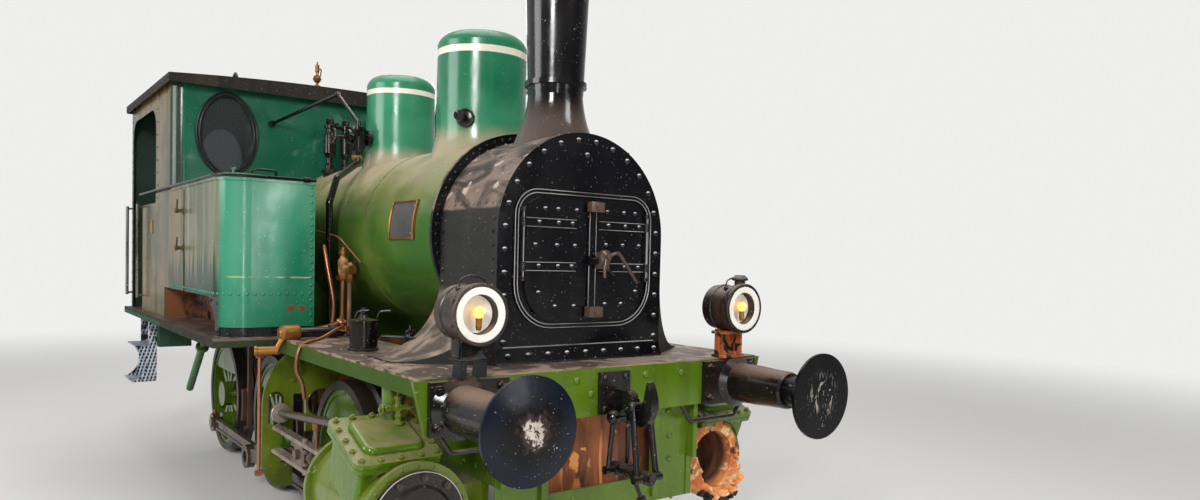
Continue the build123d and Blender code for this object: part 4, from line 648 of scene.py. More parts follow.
bar = bmesh.new()
for low, high in ((1.998, 2.052), (1.446, 1.5)):
    brick(bar, (-0.012, -2.556, low), (0.074, -2.5105, high))
brick(bar, (0.04, -2.575, 1.7), (0.096, -2.5268, 1.79))
lathe(bar, [(0.0, -0.01), (0.032, -0.01), (0.036, 0.0), (0.036, 0.02), (0.026, 0.026), (0.014, 0.03),
            (0.014, 0.055), (0, 0.058)], (0.068, -2.56, 1.765), FORWARD, 16)
for z in (2.024, 1.473):
    disc(bar, 0.02, -0.01, 0.012, (0.034, -2.556, z), FORWARD, 6)
tube(bar, rounded([(0.068, -2.6, 1.765), (0.128, -2.606, 1.79), (0.16, -2.606, 1.756),
                   (0.262, -2.606, 1.628)], 0.02), 0.0095)
tube(bar, rounded([(0.068, -2.59, 1.765), (0.048, -2.594, 1.7), (0.052, -2.594, 1.655)], 0.02), 0.008)
finished("door_bar_fittings", bar, worn_black, "smokebox_door_left")
# Pale beads along edges: painted highlights where the edges catch the light, on paint rubbed thin.
edge_highlight_and_wear = old_paint("painted edge highlights and wear", (196, 192, 190), (104, 98, 96), dust=0.1, streaks=0.4,
                      streak_colour=(30, 28, 28), specks=0.5, gloss=0.25)


def door_edge(grow):
    """Outline of the doors seen from the front, larger by grow, with its bent corners."""
    bottom_bend, top_bend, y = 0.205 + grow, 0.115 + grow, -2.499
    half, low, top = 0.424 + grow, 1.412 - grow, 2.08 + grow
    route = []
    corners = ((half, low, bottom_bend, -90), (half, top, top_bend, 0), (-half, top, top_bend, 90),
               (-half, low, bottom_bend, 180))
    for x, z, bend, first in corners:
        middle = Vector((x - copysign(bend, x), y, z + bend if z == low else z - bend))
        route += [middle + Vector((cos(a), 0, sin(a))) * bend
                  for a in (radians(first + 90 * k / 8) for k in range(9))]
    return route


# Pale beads round the door moulding and along the foot: painted edge highlights on rubbed paint.
edges = bmesh.new()
for grow in (0.0, 0.018):
    tube(edges, door_edge(grow), 0.0022, 6, closed=True)
tube(edges, [(-edge, front - 0.001, 1.3), (edge, front - 0.001, 1.3)], 0.003, 6)
finished("moulding_edges", edges, edge_highlight_and_wear)
HINGE_X, HINGE_Y = 0.402, -2.5165
# Pale beads on the straps, hinge rods and the bar's edges: painted highlights on rubbed paint.
for leaf, side in (("right", -1), ("left", 1)):
    strips = bmesh.new()
    for z in STRAP_HEIGHTS:
        for dz in (-0.0215, 0.0215):
            tube(strips, [(side * 0.075, STRAP_Y, z + dz), (side * 0.392, STRAP_Y, z + dz)], 0.0018, 6)
        tube(strips, [(side * HINGE_X, HINGE_Y, z + dz) for dz in (-0.021, 0.021)], 0.0065, 8)
    tube(strips, [(side * HINGE_X, HINGE_Y + 0.001, z) for z in (1.64, 1.995)], 0.003, 6)
    if side > 0:
        for x in (0.009, 0.051):
            tube(strips, [(x, -2.5108, 1.462), (x, -2.5108, 2.026)], 0.0024, 6)
    finished("strap_edges_" + leaf, strips, edge_highlight_and_wear, "smokebox_door_" + leaf)

# Chimney
# Tapered stack of rolled sheet in gloss black, with a band and a turned cap.
# Brown dust lies thick on its flared base and thins out up the stack.


def base_dust(made, tone):
    """Dust on the flared base."""
    return made.mix(made.times(made.between(made.z, 2.64, 2.46), 0.85), tone, (84, 72, 66))


chimney_black = old_paint("chimney black", (6, 7, 10), (14, 14, 17), dust=0.5, dust_colour=(128, 112, 102),
                          streaks=0.15, streak_colour=(60, 52, 48), specks=0.4, gloss=0.1, extra=base_dust)
paint(chimney_black, "chimney")

# Domes
# Two clad domes in the bluer green of the cab, each with one off-white line painted below its crown.
# Dust has settled on the crowns and round the foot; brass and iron plugs stand on their sides.
CAB_GREEN = (28, 110, 76)
CAB_GREEN_FADED = (56, 138, 102)
LINE_WHITE = (232, 226, 210)
FRONT_LINE = (2.984, 3.026)
REAR_LINE = (2.914, 2.95)


def lined(low, high):
    """Adds one painted line between two heights, with dust at the foot of the dome."""
    def add(made, tone):
        wobble = made.plus(made.z, made.times(made.noise(6.0, 3), 0.006))
        band = made.times(made.between(wobble, low + 0.002, low + 0.004),
                          made.between(wobble, high + 0.004, high + 0.002))
        foot = made.between(made.plus(made.z, made.times(made.noise(3.0, 6), 0.16)), 2.64, 2.5)
        return made.mix(made.times(foot, 0.85), made.mix(band, tone, LINE_WHITE), TOP_DUST)
    return add


for node_name, line in (("front_dome", FRONT_LINE), ("rear_dome", REAR_LINE)):
    coat = old_paint(node_name.replace("_", " ") + " paint", CAB_GREEN, CAB_GREEN_FADED, dust=0.35,
                     streaks=0.18, streak_colour=(84, 110, 70), specks=0.3, gloss=0.15, extra=lined(*line))
    paint(coat, node_name)

iron_black = old_paint("oily black iron", (8, 8, 9), (18, 15, 14), dust=0.15, streaks=0.25,
                       streak_colour=(60, 46, 36), chips=0.4, gloss=0.2, specks=0.3)
brass = old_paint("dull brass", (176, 124, 66), (142, 98, 52), dust=0.25, dust_colour=(150, 128, 100),
                  streaks=0.5, streak_colour=(84, 56, 34), gloss=0.28, Metallic=0.85)
copper = old_paint("brown copper", (184, 124, 88), (138, 92, 66), dust=0.15, dust_colour=(150, 122, 100),
                   streaks=0.25, streak_colour=(66, 46, 34), gloss=0.3, Metallic=0.8)
plug = bmesh.new()
lathe(plug, [(0, -0.03), (0.056, -0.03), (0.056, 0.012), (0.045, 0.018), (0.024, 0.02), (0.024, 0.085),
             (0.03, 0.088), (0.03, 0.105), (0, 0.105)], (-0.214, -1.535, 2.58), (-0.78, -0.62, 0), 20)
finished("dome_plug", plug, iron_black)
knob = bmesh.new()
lathe(knob, [(0, -0.02), (0.022, -0.02), (0.026, 0.0), (0.026, 0.018), (0.014, 0.022), (0.014, 0.034),
             (0.022, 0.04), (0.022, 0.052), (0, 0.056)], (0.275, -1.39, 2.828), (1, -0.25, 0), 16)
finished("dome_knob", knob, brass)

# Boiler fittings
# Black iron steam valve, its lagged pipe and its long operating rod; brass clack valves on brown pipes;
# a black oil pot and the injector's tube with its brass end. Small nuts and hand wheels finish them.


def clack_brass(made, tone):
    """The clack valve is cast brass on brown copper pipes; everything else here is black iron."""
    x = made.off(made.x)
    place = made.times(made.between(x, 0.575, 0.58), made.between(x, 0.7, 0.695),
                       made.between(made.y, -0.87, -0.86), made.between(made.y, -0.61, -0.62),
                       made.between(made.z, 1.222, 1.224))
    metal = made.mix(made.cloud(16.0, 6, 0.4, 0.62), (206, 150, 92), (132, 94, 62))
    pipe = made.mix(made.cloud(9.0, 6, 0.4, 0.62, stretch=(1, 1, 0.4)), (164, 118, 88), (98, 74, 60))
    return made.mix(place, tone, made.mix(made.between(made.z, 1.585, 1.595), pipe, metal))


fitting_iron = old_paint("boiler fittings", (7, 7, 8), (15, 13, 13), dust=0.12, streaks=0.25,
                         streak_colour=(60, 46, 36), chips=0.4, gloss=0.1, specks=0.3, extra=clack_brass)
paint(fitting_iron, "boiler_fittings")
paint(iron_black, "safety_valves")
paint(brass, "whistle")


def wheel(shape, centre, axis, radius, bar):
    """Small hand wheel: a round rim on four thin spokes with a hub."""
    axis = Vector(axis).normalized()
    across = axis.orthogonal().normalized()
    up = axis.cross(across)
    centre = Vector(centre)
    rim = [centre + (across * cos(a) + up * sin(a)) * radius for a in (2 * pi * k / 20 for k in range(20))]
    tube(shape, rim, bar, 8, closed=True)
    disc(shape, 0.012, -0.012, 0.012, centre, axis, 10)
    for a in (pi * k / 2 for k in range(4)):
        tube(shape, [centre, centre + (across * cos(a) + up * sin(a)) * radius], bar * 0.7, 6)
    return shape


CLACK_X, CLACK_Y = 0.629, -0.67
clack = bmesh.new()
for side in (-1, 1):
    x, y, z = side * CLACK_X, CLACK_Y, 1.668
    lathe(clack, [(0, 0.064), (0.024, 0.064), (0.026, 0.078), (0.03, 0.08), (0.03, 0.096), (0.018, 0.1),
                  (0.018, 0.118), (0.01, 0.122), (0, 0.124)], (x, y, z), UP, 12)
    lathe(clack, [(0, -0.094), (0.04, -0.094), (0.043, -0.088), (0.043, -0.066), (0.036, -0.062),
                  (0, -0.062)], (x, y, z), UP, 6)
    lathe(clack, [(0, 0.0), (0.034, 0.0), (0.034, 0.016), (0.03, 0.02), (0.014, 0.02), (0.014, 0.014),
                  (0, 0.014)], (x, y - 0.146, z - 0.022), FORWARD, 16)
    lathe(clack, [(0, -0.05), (0.022, -0.05), (0.026, -0.04), (0.026, 0.0), (0.02, 0.006), (0, 0.006)],
          (x, y - 0.118, z - 0.052), UP, 6)
finished("clack_valve_caps", clack, brass)
pipes = bmesh.new()
for side in (-1, 1):
    tube(pipes, rounded([(side * CLACK_X, CLACK_Y, 1.575), (side * CLACK_X, CLACK_Y, 1.3),
                         (side * 0.72, -0.6, 1.255), (side * 0.8, -0.62, 1.25)], 0.05), 0.0175)
    tube(pipes, rounded([(side * 0.7, -0.5, 1.8), (side * 0.66, -0.6, 1.42), (side * 0.675, -0.6, 1.235)],
                        0.06), 0.016)
    tube(pipes, rounded([(side * 0.58, -0.85, 1.69), (side * 0.64, -0.6, 1.86), (side * 0.69, -0.3, 1.9)],
                        0.05), 0.006)
finished("feed_pipes", pipes, copper)
small = bmesh.new()
lathe(small, [(0, 0), (0.034, 0), (0.034, 0.014), (0.022, 0.018), (0.022, 0.055), (0.034, 0.06),
              (0.034, 0.115), (0.022, 0.12), (0.022, 0.14), (0.01, 0.145), (0, 0.165)],
      (-0.6, -0.92, 1.2165), UP, 14)
lathe(small, [(0, 0), (0.028, 0), (0.028, 0.012), (0.02, 0.016), (0.02, 0.05), (0.03, 0.055), (0.03, 0.1),
              (0.012, 0.106), (0.008, 0.13), (0, 0.135)], (-0.585, -1.62, 1.2165), UP, 14)
for x, y in ((-0.8, -1.66), (-0.905, -1.61)):
    tube(small, rounded([(x, y, 1.4), (x + 0.01, y - 0.01, 1.435), (x + 0.06, y - 0.04, 1.44)], 0.01), 0.006)
tube(small, rounded([(-0.79, -1.7, 1.3), (-0.74, -1.84, 1.305), (-0.62, -2.0, 1.3)], 0.03), 0.009)
wheel(small, (-0.7, -1.86, 1.312), (0.3, -1, 0), 0.03, 0.005)
tube(small, [(-0.85, -1.59, 1.425), (-0.85, -1.59, 1.452)], 0.018, 8)
finished("oilers", small, iron_black)
cap = bmesh.new()
lathe(cap, [(0, -0.01), (0.047, -0.01), (0.05, 0.0), (0.05, 0.086), (0.044, 0.094), (0.036, 0.1),
            (0.03, 0.112), (0, 0.112)], (-0.985, -0.87, 1.2585), (-1, 0, 0), 24)
lathe(cap, [(0, 0), (0.027, 0), (0.027, 0.115), (0.032, 0.118), (0.032, 0.132), (0, 0.132)],
      (-1.095, -0.855, 1.152), (-1, 0.25, 0), 16)
tube(cap, rounded([(-1.06, -0.87, 1.235), (-1.085, -0.862, 1.19), (-1.1, -0.856, 1.152)], 0.03), 0.02)
finished("injector_ends", cap, brass)
loop = bmesh.new()
tube(loop, rounded([(-0.742, -1.02, 1.29), (-0.8, -1.08, 1.3), (-0.93, -1.14, 1.24), (-1.052, -1.165, 1.222),
                    (-1.078, -1.17, 1.15), (-1.085, -1.175, 1.06), (-1.055, -1.2, 1.0),
                    (-1.045, -1.21, 0.9)], 0.05), 0.011)
lathe(loop, [(0, 0), (0.024, 0), (0.024, 0.03), (0.016, 0.034), (0, 0.034)], (-0.742, -1.02, 1.272), UP, 10)
wheel(loop, (-0.77, -1.04, 1.335), (0.2, -0.3, 1), 0.028, 0.005)
tube(loop, [(-0.742, -1.02, 1.3), (-0.77, -1.04, 1.335)], 0.008, 8)
tube(loop, rounded([(-0.742, -1.02, 1.285), (-0.742, -0.9, 1.27), (-0.742, -0.8, 1.262)], 0.02), 0.012)
finished("drain_pipe", loop, copper)
valve = bmesh.new()
wheel(valve, (-0.505, -0.1, 2.588), (-1, -0.1, 0), 0.052, 0.007)
tube(valve, [(-0.42, -0.1, 2.588), (-0.505, -0.1, 2.588)], 0.011, 8)
lathe(valve, [(0, 0), (0.036, 0), (0.036, 0.03), (0.026, 0.034), (0, 0.034)], (-0.35, -0.175, 2.455), UP, 6)
finished("steam_valve_wheel", valve, iron_black)
gland = bmesh.new()
lathe(gland, [(0, 0), (0.038, 0), (0.042, 0.006), (0.042, 0.03), (0.034, 0.036), (0.0, 0.036)],
      (-0.348, -0.168, 2.425), UP, 6)
finished("steam_pipe_nut", gland, brass)

# Number plate
# A blank cast plate in a thin brass frame, screwed to the barrel and curved with it.
# The ground inside the frame is painted dark and has dulled to grey.
plate_ground = old_paint("plate ground", (58, 52, 56), (84, 78, 78), dust=0.3, specks=0.5, gloss=0.35)
paint(plate_ground, "number_plate")
box_low, box_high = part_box("number_plate")
frame_bars = bmesh.new()


def on_barrel(y, z, out):
    """Point that stands out from the barrel's right-hand side at a height."""
    angle = acos(max(-1, min(1, (z - BARREL_Z) / (BARREL_RADIUS + out))))
    return Vector((-sin(angle) * (BARREL_RADIUS + out), y, z))


y0, y1, z0, z1 = box_low[1] + 0.006, box_high[1] - 0.006, box_low[2] + 0.006, box_high[2] - 0.006
climb = [z0 + (z1 - z0) * k / 8 for k in range(9)]
rim = [on_barrel(y0, z, 0.002) for z in climb] + [on_barrel(y1, z, 0.002) for z in reversed(climb)]
tube(frame_bars, rim, 0.0075, 6, closed=True)
finished("plate_frame", frame_bars, brass)
plate_screws = [(on_barrel(y, z, 0.0), on_barrel(y, z, 1) - on_barrel(y, z, 0))
                for y in (y0 + 0.03, y1 - 0.03) for z in (z0 + 0.03, z1 - 0.03)]
heads("plate_screws", brass, "brass", points=plate_screws, size=(0.007, 0.004))

# Side tanks
# Welded and riveted plate in the cab's green, with a painted pale sheen on its front; its side carries a
# painted golden-brown reflection, streaked with pale and dark runs of dirt.
# A close rivet row crosses the front and one runs up its inner edge; a black rod follows the rim.
TANK = {"in": 0.81, "side": 1.38, "front": -0.65, "top": 2.198, "corner": 0.18, "row": 1.483, "foot": 1.216}


def tank_dirt_sheen_and_reflection(made, tone):
    """A painted pale sheen on the fronts, a painted brown reflection with runs of dirt on the sides,
    a rusty recess and patch, a pale crease line and a black curb at the foot.
    """
    # Painted sheen: the front faces turn paler green in patches.
    front_face = made.between(made.lengthwise, -0.6, -0.9)
    painted_tank_sheen = made.times(made.cloud(1.2, 5, 0.42, 0.62, distortion=0.5), front_face, 0.4)
    tone = made.mix(painted_tank_sheen, tone, (104, 158, 134))
    # Painted reflection: the side faces turn golden brown, as if they reflected brown surroundings; runs of
    # dirt cross it.
    side = made.between(made.off(made.sideways), 0.8, 0.99)
    brown = made.mix(made.cloud(2.4, 6, 0.36, 0.62, stretch=(1, 1.4, 0.5), distortion=0.6), (124, 112, 92),
                     (92, 84, 66))
    rear = made.times(made.between(made.y, 0.42, 0.56),
                      made.cloud(1.8, 5, 0.3, 0.62, 0.55, 1.0, distortion=0.5))
    brown = made.mix(rear, brown, (126, 92, 56))
    brown = made.mix(made.cloud(9.0, 5, 0.55, 0.7, 0, 0.6, stretch=(1, 1.5, 0.1)), brown, (158, 150, 132))
    drips = made.plus(made.z, made.times(made.noise(11.0, 5, stretch=(1, 1.6, 0.06)), -0.9))
    brown = made.mix(made.between(drips, 1.3, 1.08, 0, 0.95), brown, (30, 28, 24))
    tone = made.mix(made.times(side, 0.84), tone, brown)
    inner = made.times(made.between(made.off(made.x), 1.3745, 1.3735), made.between(made.y, -0.545, -0.535),
                       made.between(made.z, 1.462, 1.458))
    rusty = made.mix(made.cloud(5.0, 7, 0.4, 0.6, distortion=0.8), (132, 74, 46), (70, 50, 42))
    tone = made.mix(inner, tone, rusty)
    wavy = made.plus(made.z, made.times(made.noise(5.0, 4), 0.012))
    crease = made.times(made.between(wavy, 1.588, 1.592), made.between(wavy, 1.601, 1.597),
                        made.cloud(14.0, 4, 0.42, 0.55), front_face)
    tone = made.mix(crease, tone, (158, 176, 132))
    curb = made.between(made.z, 1.278, 1.274)
    patch_x = made.between(made.off(made.plus(made.off(made.x), -0.925)), 0.062, 0.05)
    patch_z = made.between(made.off(made.plus(made.z, -1.388)), 0.022, 0.014)
    rust = made.times(patch_x, patch_z, front_face, made.cloud(24.0, 5, 0.44, 0.52))
    tone = made.mix(rust, tone, (124, 66, 46))
    return made.mix(curb, tone, (24, 24, 32))


tank_paint = old_paint("tank paint", (26, 112, 80), (50, 136, 104), dust=0.7, dust_colour=(104, 110, 84),
                       streaks=0.2, streak_colour=(46, 76, 52), chips=0.1, specks=0.5, gloss=0.12,
                       side_dull=0.85, extra=tank_dirt_sheen_and_reflection)
paint(tank_paint, "tank_left", "tank_right", "tank_lid_left", "tank_lid_right")
rivet_lines, rim_lines = [], []
for side in (-1, 1):
    def corner_line(z, inset=0.0, stop=None):
        """Front of a tank at a height: across the flat and round the outer corner."""
        r = TANK["corner"]
        centre = Vector((side * (TANK["side"] - r), TANK["front"] + r, z))
        line = spots(FORWARD, (side * (TANK["in"] + inset), TANK["front"], z))
        for k in range(11):
            a = radians(90 * k / 10)
            out = Vector((side * sin(a), -cos(a), 0))
            line.append((centre + out * r, out))
        if stop is not None:
            line.append((Vector((side * TANK["side"], stop, z)), Vector((side, 0, 0))))
        return line

    rivet_lines.append(corner_line(TANK["row"], 0.03, stop=0.75))
    x = side * (TANK["in"] + 0.022)
    rivet_lines.append(spots(FORWARD, (x, TANK["front"], 1.3), (x, TANK["front"], TANK["top"] - 0.03)))
    rim_lines.append([place + way * 0.012 for place, way in corner_line(TANK["top"] + 0.012, 0.0, stop=0.7)])
heads("tank_rivets", tank_paint, "tank_green", lines=rivet_lines, spacing=0.047, size=(0.0105, 0.009))
rim_rods = bmesh.new()
rod_z = TANK["top"] + 0.012
for side, line in zip((-1, 1), rim_lines):
    tube(rim_rods, line + [Vector((side * 1.4, y, rod_z)) for y in (0.82, 2.075)], 0.01, 8)
    rod_end = (side * (TANK["in"] + 0.06), TANK["front"] - 0.012, rod_z)
    disc(rim_rods, 0.017, -0.02, 0.02, rod_end, (1, 0, 0), 8)
finished("tank_rim_rods", rim_rods, black_gloss)
cocks = bmesh.new()
for side in (-1, 1):
    x = side * TANK["side"]
    brick(cocks, (min(x, x + side * 0.006), 0.375, 1.46), (max(x, x + side * 0.006), 0.405, 2.17))
    for z in (2.02, 1.76):
        lathe(cocks, [(0, 0), (0.024, 0), (0.024, 0.01), (0.014, 0.014), (0.014, 0.038), (0.02, 0.042),
                      (0.02, 0.056), (0, 0.06)], (x, 0.39, z), (side, 0, 0), 12)
        tube(cocks, [(x + side * 0.046, 0.39, z), (x + side * 0.05, 0.35, z + 0.075)], 0.006, 6)
dirty_brass = old_paint("dirty brass", (104, 96, 62), (78, 76, 52), dust=0.3, streaks=0.6,
                        streak_colour=(44, 50, 36), chips=0.5, chip_colour=(170, 146, 96), gloss=0.3,
                        Metallic=0.5)
finished("tank_cocks", cocks, dirty_brass)
bracket = bmesh.new()
for side in (-1, 1):
    x0, x1 = sorted((side * 1.345, side * 1.358))
    slab(bracket, [(x0, -0.54, 1.212), (x0, -0.54, 1.455), (x0, -0.26, 1.455), (x0, -0.3, 1.415),
                   (x0, -0.4, 1.355), (x0, -0.44, 1.3), (x0, -0.44, 1.212)], (x1 - x0, 0, 0))
finished("tank_corner_brackets", bracket, black_gloss)
bracket_bolts = [(Vector((side * 1.358, y, z)), Vector((side, 0, 0)))
                 for side in (-1, 1) for y, z in ((-0.33, 1.432), (-0.5, 1.25), (-0.5, 1.42))]
heads("bracket_bolts", black_gloss, "black_paint", points=bracket_bolts, size=(0.013, 0.01))
rust_panel = old_paint("rusty panel", (112, 62, 42), (140, 80, 50), dust=0.3, dust_colour=(112, 96, 84),
                       streaks=0.7, streak_colour=(74, 64, 60), chips=0.7, chip_colour=(196, 110, 62),
                       gloss=0.6)
back_panel = bmesh.new()
for side in (-1, 1):
    x0, x1 = sorted((side * 1.1015, side * 1.105))
    brick(back_panel, (x0, -0.53, 1.2185), (x1, 0.81, 1.449))
finished("recess_panels", back_panel, rust_panel)
lifting = bmesh.new()
top = TANK["top"]
for side in (-1, 1):
    tube(lifting, rounded([(side * 0.83, 0.62, top - 0.002), (side * 0.83, 0.62, top + 0.07),
                           (side * 0.98, 0.6, top + 0.06)], 0.03), 0.01)
    tube(lifting, rounded([(side * 0.9, -0.1, top + 0.06), (side * 0.9, -0.12, top + 0.105),
                           (side * 1.05, -0.1, top + 0.108), (side * 1.05, -0.06, top + 0.07)], 0.03), 0.008)
finished("tank_top_bars", lifting, black_gloss)

# Safety valves and whistle
# Two oily iron valve columns stand on the rear of the barrel; a brass whistle sits on the roof's edge.
# Springs, lock nuts and the whistle's lever are turned and bent by hand, and blackened by steam.
VALVE_Y = 0.63
valve_parts = bmesh.new()
for x in (-0.271, -0.143):
    coil = [(x + 0.027 * cos(a), VALVE_Y + 0.027 * sin(a), 2.76 + a * 0.0016)
            for a in (k * pi / 5 for k in range(61))]
    tube(valve_parts, coil, 0.0045, 6)
    lathe(valve_parts, [(0, 2.385), (0.058, 2.385), (0.062, 2.393), (0.062, 2.41), (0.05, 2.418),
                        (0, 2.418)], (x, VALVE_Y, 0), UP, 6)
    disc(valve_parts, 0.021, 2.77, 2.786, (x, VALVE_Y, 0), UP, 6)
tube(valve_parts, rounded([(-0.207, VALVE_Y, 2.79), (-0.207, 0.78, 2.8), (-0.207, 0.82, 2.78)], 0.03), 0.008)
finished("safety_valve_springs", valve_parts, iron_black)
pull = bmesh.new()
tube(pull, rounded([(-0.335, 0.752, 3.232), (-0.3, 0.765, 3.24), (-0.3, 0.8, 3.15)], 0.015), 0.005)
finished("whistle_lever", pull, brass)

# Cab sheets
# Riveted sheet in the same green as the tanks, darker and glossier on the front, with patches of painted pale
# sheen.
# The side carries a painted golden-brown reflection, streaked dark where water ran down to the footplate;
# the inside faces of the sheets are darkened as painted shade.
# Golden brown of the painted reflection on the cab sides.
CAB_SIDE_REFLECTION = (122, 92, 50)
CAB_SIDE_X, CAB_FRONT_Y, CAB_BACK_Y = 1.38, 0.82, 2.63


def cab_dirt_sheen_reflection_and_shade(made, tone):
    """Painted golden reflection with dark runs on the side sheets, painted pale sheen on the front,
    painted shade on the inside faces, rusty grime in the tank recess.
    """
    # Painted sheen: pale patches on what faces forward.
    painted_cab_sheen = made.cloud(3.4, 5, 0.58, 0.74, 0, 0.5, stretch=(1, 1, 1.6), distortion=0.8)
    forward = made.between(made.off(made.lengthwise), 0.7, 0.98)
    tone = made.mix(made.times(painted_cab_sheen, forward), tone, (110, 150, 138))
    # Painted reflection: the outside faces of the side sheets turn golden brown, crossed by dark runs of
    # dirt.
    side = made.between(made.off(made.sideways), 0.86, 0.995)
    outside = made.between(made.off(made.x), 1.3755, 1.3785)
    reflection_and_runs = made.mix(made.cloud(2.6, 6, 0.38, 0.62, stretch=(1, 1.4, 0.45), distortion=0.6), CAB_SIDE_REFLECTION,
                    (84, 76, 54))
    reflection_and_runs = made.mix(made.cloud(7.0, 5, 0.52, 0.66, 0, 0.85, stretch=(1, 1.2, 0.12)), reflection_and_runs, (48, 44, 36))
    tone = made.mix(made.times(side, outside, 0.86), tone, reflection_and_runs)
    recess = made.times(made.between(made.off(made.x), 1.3765, 1.3755), made.between(made.y, 1.1, 1.095),
                        made.between(made.z, 1.472, 1.466))
    # Painted shade: the inside faces of the cab sheets turn dark green.
    depth = made.times(made.between(made.y, CAB_FRONT_Y + 0.003, CAB_FRONT_Y + 0.004),
                       made.between(made.y, CAB_BACK_Y - 0.003, CAB_BACK_Y - 0.004))
    inside = made.times(depth, made.between(made.off(made.x), 1.3775, 1.3765))
    back = made.times(made.between(made.lengthwise, -0.5, -0.6), made.between(made.y, 2.5, 2.51),
                      made.between(made.off(made.x), 1.3775, 1.3765))
    inside = made.math("MAXIMUM", inside, back)
    tone = made.mix(made.times(inside, 0.9), tone, (46, 56, 46))
    grime = made.mix(made.cloud(5.0, 7, 0.4, 0.6, distortion=0.8), (128, 82, 54), (62, 50, 46))
    return made.mix(recess, tone, grime)


cab_paint = old_paint("cab paint", (14, 84, 60), (24, 96, 74), dust=0.4, streaks=0.15, specks=0.5,
                      gloss=0.12, streak_colour=(30, 52, 36), side_dull=0.8, extra=cab_dirt_sheen_reflection_and_shade)
paint(cab_paint, "cab_front", "cab_sides", "cab_back")
cab_rows, patches, screws = [], bmesh.new(), []
for side in (-1, 1):
    out = Vector((side, 0, 0))
    x = side * CAB_SIDE_X
    cab_rows.append(spots(out, (x, CAB_BACK_Y - 0.03, 1.26), (x, CAB_BACK_Y - 0.03, 2.98)))
    cab_rows.append(spots(out, (x, 1.4, 2.155), (x, 1.4, 2.96)))
    cab_rows.append(spots(FORWARD, (side * 1.24, CAB_FRONT_Y, 2.25), (side * 1.24, CAB_FRONT_Y, 2.96)))
    slab(patches, [(x - side * 0.002, 1.585, 1.872), (x - side * 0.002, 1.675, 1.872),
                   (x - side * 0.002, 1.675, 1.985), (x - side * 0.002, 1.585, 1.985)], (side * 0.008, 0, 0))
    screws += [(Vector((x + side * 0.006, y, z)), out) for y in (1.597, 1.663) for z in (1.885, 1.972)]
heads("cab_rivets", cab_paint, "tank_green", lines=cab_rows, spacing=0.09, size=(0.009, 0.006))
small_plate = old_paint("small blank plate", (150, 122, 84), (120, 98, 66), dust=0.3, streaks=0.4,
                        specks=0.3, gloss=0.35)
finished("cab_side_plates", patches, small_plate)
heads("cab_plate_screws", iron_black, "black_paint", points=screws, size=(0.005, 0.003))

# Cab windows
# Toughened glass set in black rubber: a thick double oval bead is pressed round each pane outside.
# The glass is dusty and tinted dark as painted shade of the cab, whose inside shows through it.
# Dark tint that passes about a fifth of the light: painted shade of the cab behind the glass.
GLASS_SHADE_TINT = (0.2, 0.23, 0.23, 1)
rubber = old_paint("window rubber", (9, 10, 13), (20, 21, 26), dust=0.25, dust_colour=(84, 80, 78),
                   gloss=0.26, specks=0.3)
paint(rubber, "window_rims")
WINDOWS = ((-1.0, 0.803), (1.0, 0.803), (-0.62, 2.653), (0.62, 2.653))
WINDOW_Z = 2.638
bead = bmesh.new()
for x, y in WINDOWS:
    for across, high, thick in ((0.218, 0.313, 0.0085), (0.196, 0.291, 0.0095)):
        ring = [(x + across * cos(a), y, WINDOW_Z + high * sin(a))
                for a in (2 * pi * k / 48 for k in range(48))]
        tube(bead, ring, thick, 8, closed=True)
finished("window_beads", bead, rubber)
glass = Finish("window glass")
smear = glass.cloud(3.0, 6, 0.5, 0.75, stretch=(1, 1, 0.5), distortion=0.8)
glass.surface(glass.mix(glass.times(smear, 0.3), GLASS_SHADE_TINT, (0.42, 0.43, 0.4, 1)),
              glass.plus(0.04, glass.times(smear, 0.18)), Transmission_Weight=0.9)
paint(glass.material, "window_glass")

# Cab roof
# Arched sheet with a deep tarred edge band that is riveted on, brown with soot and dust.
# Four small hooks for lifting it are bolted along its sides.
roof_tar = old_paint("roof tar", (14, 12, 11), (30, 25, 21), dust=0.3, dust_colour=(66, 55, 44), streaks=0.7,
                     streak_colour=(58, 44, 34), chips=0.6, specks=0.5, gloss=0.5, Specular_IOR_Level=0.3)
paint(roof_tar, "cab_roof")
hooks = bmesh.new()
for x, y in ((-0.9, 2.12), (0.9, 2.12), (-0.9, 1.0), (0.9, 1.0)):
    z = landing("cab_roof", (x, y, 4.5), (0, 0, -1)).z
    tube(hooks, rounded([(x, y - 0.055, z + 0.004), (x, y - 0.05, z + 0.05), (x, y, z + 0.082),
                         (x, y + 0.045, z + 0.05), (x, y + 0.02, z + 0.028)], 0.03), 0.011)
    lathe(hooks, [(0, -0.004), (0.034, -0.004), (0.034, 0.004), (0.026, 0.01), (0, 0.01)], (x, y - 0.055, z),
          UP, 16)
finished("roof_hooks", hooks, iron_black)
BAND_X, BAND_Z = 1.4205, 3.0
roof_edge = [spots(Vector((side, 0, 0)), (side * BAND_X, 0.76, BAND_Z), (side * BAND_X, 2.66, BAND_Z))
             for side in (-1, 1)]
heads("roof_band_rivets", roof_tar, "dusty_black", lines=roof_edge, spacing=0.12, size=(0.008, 0.005))

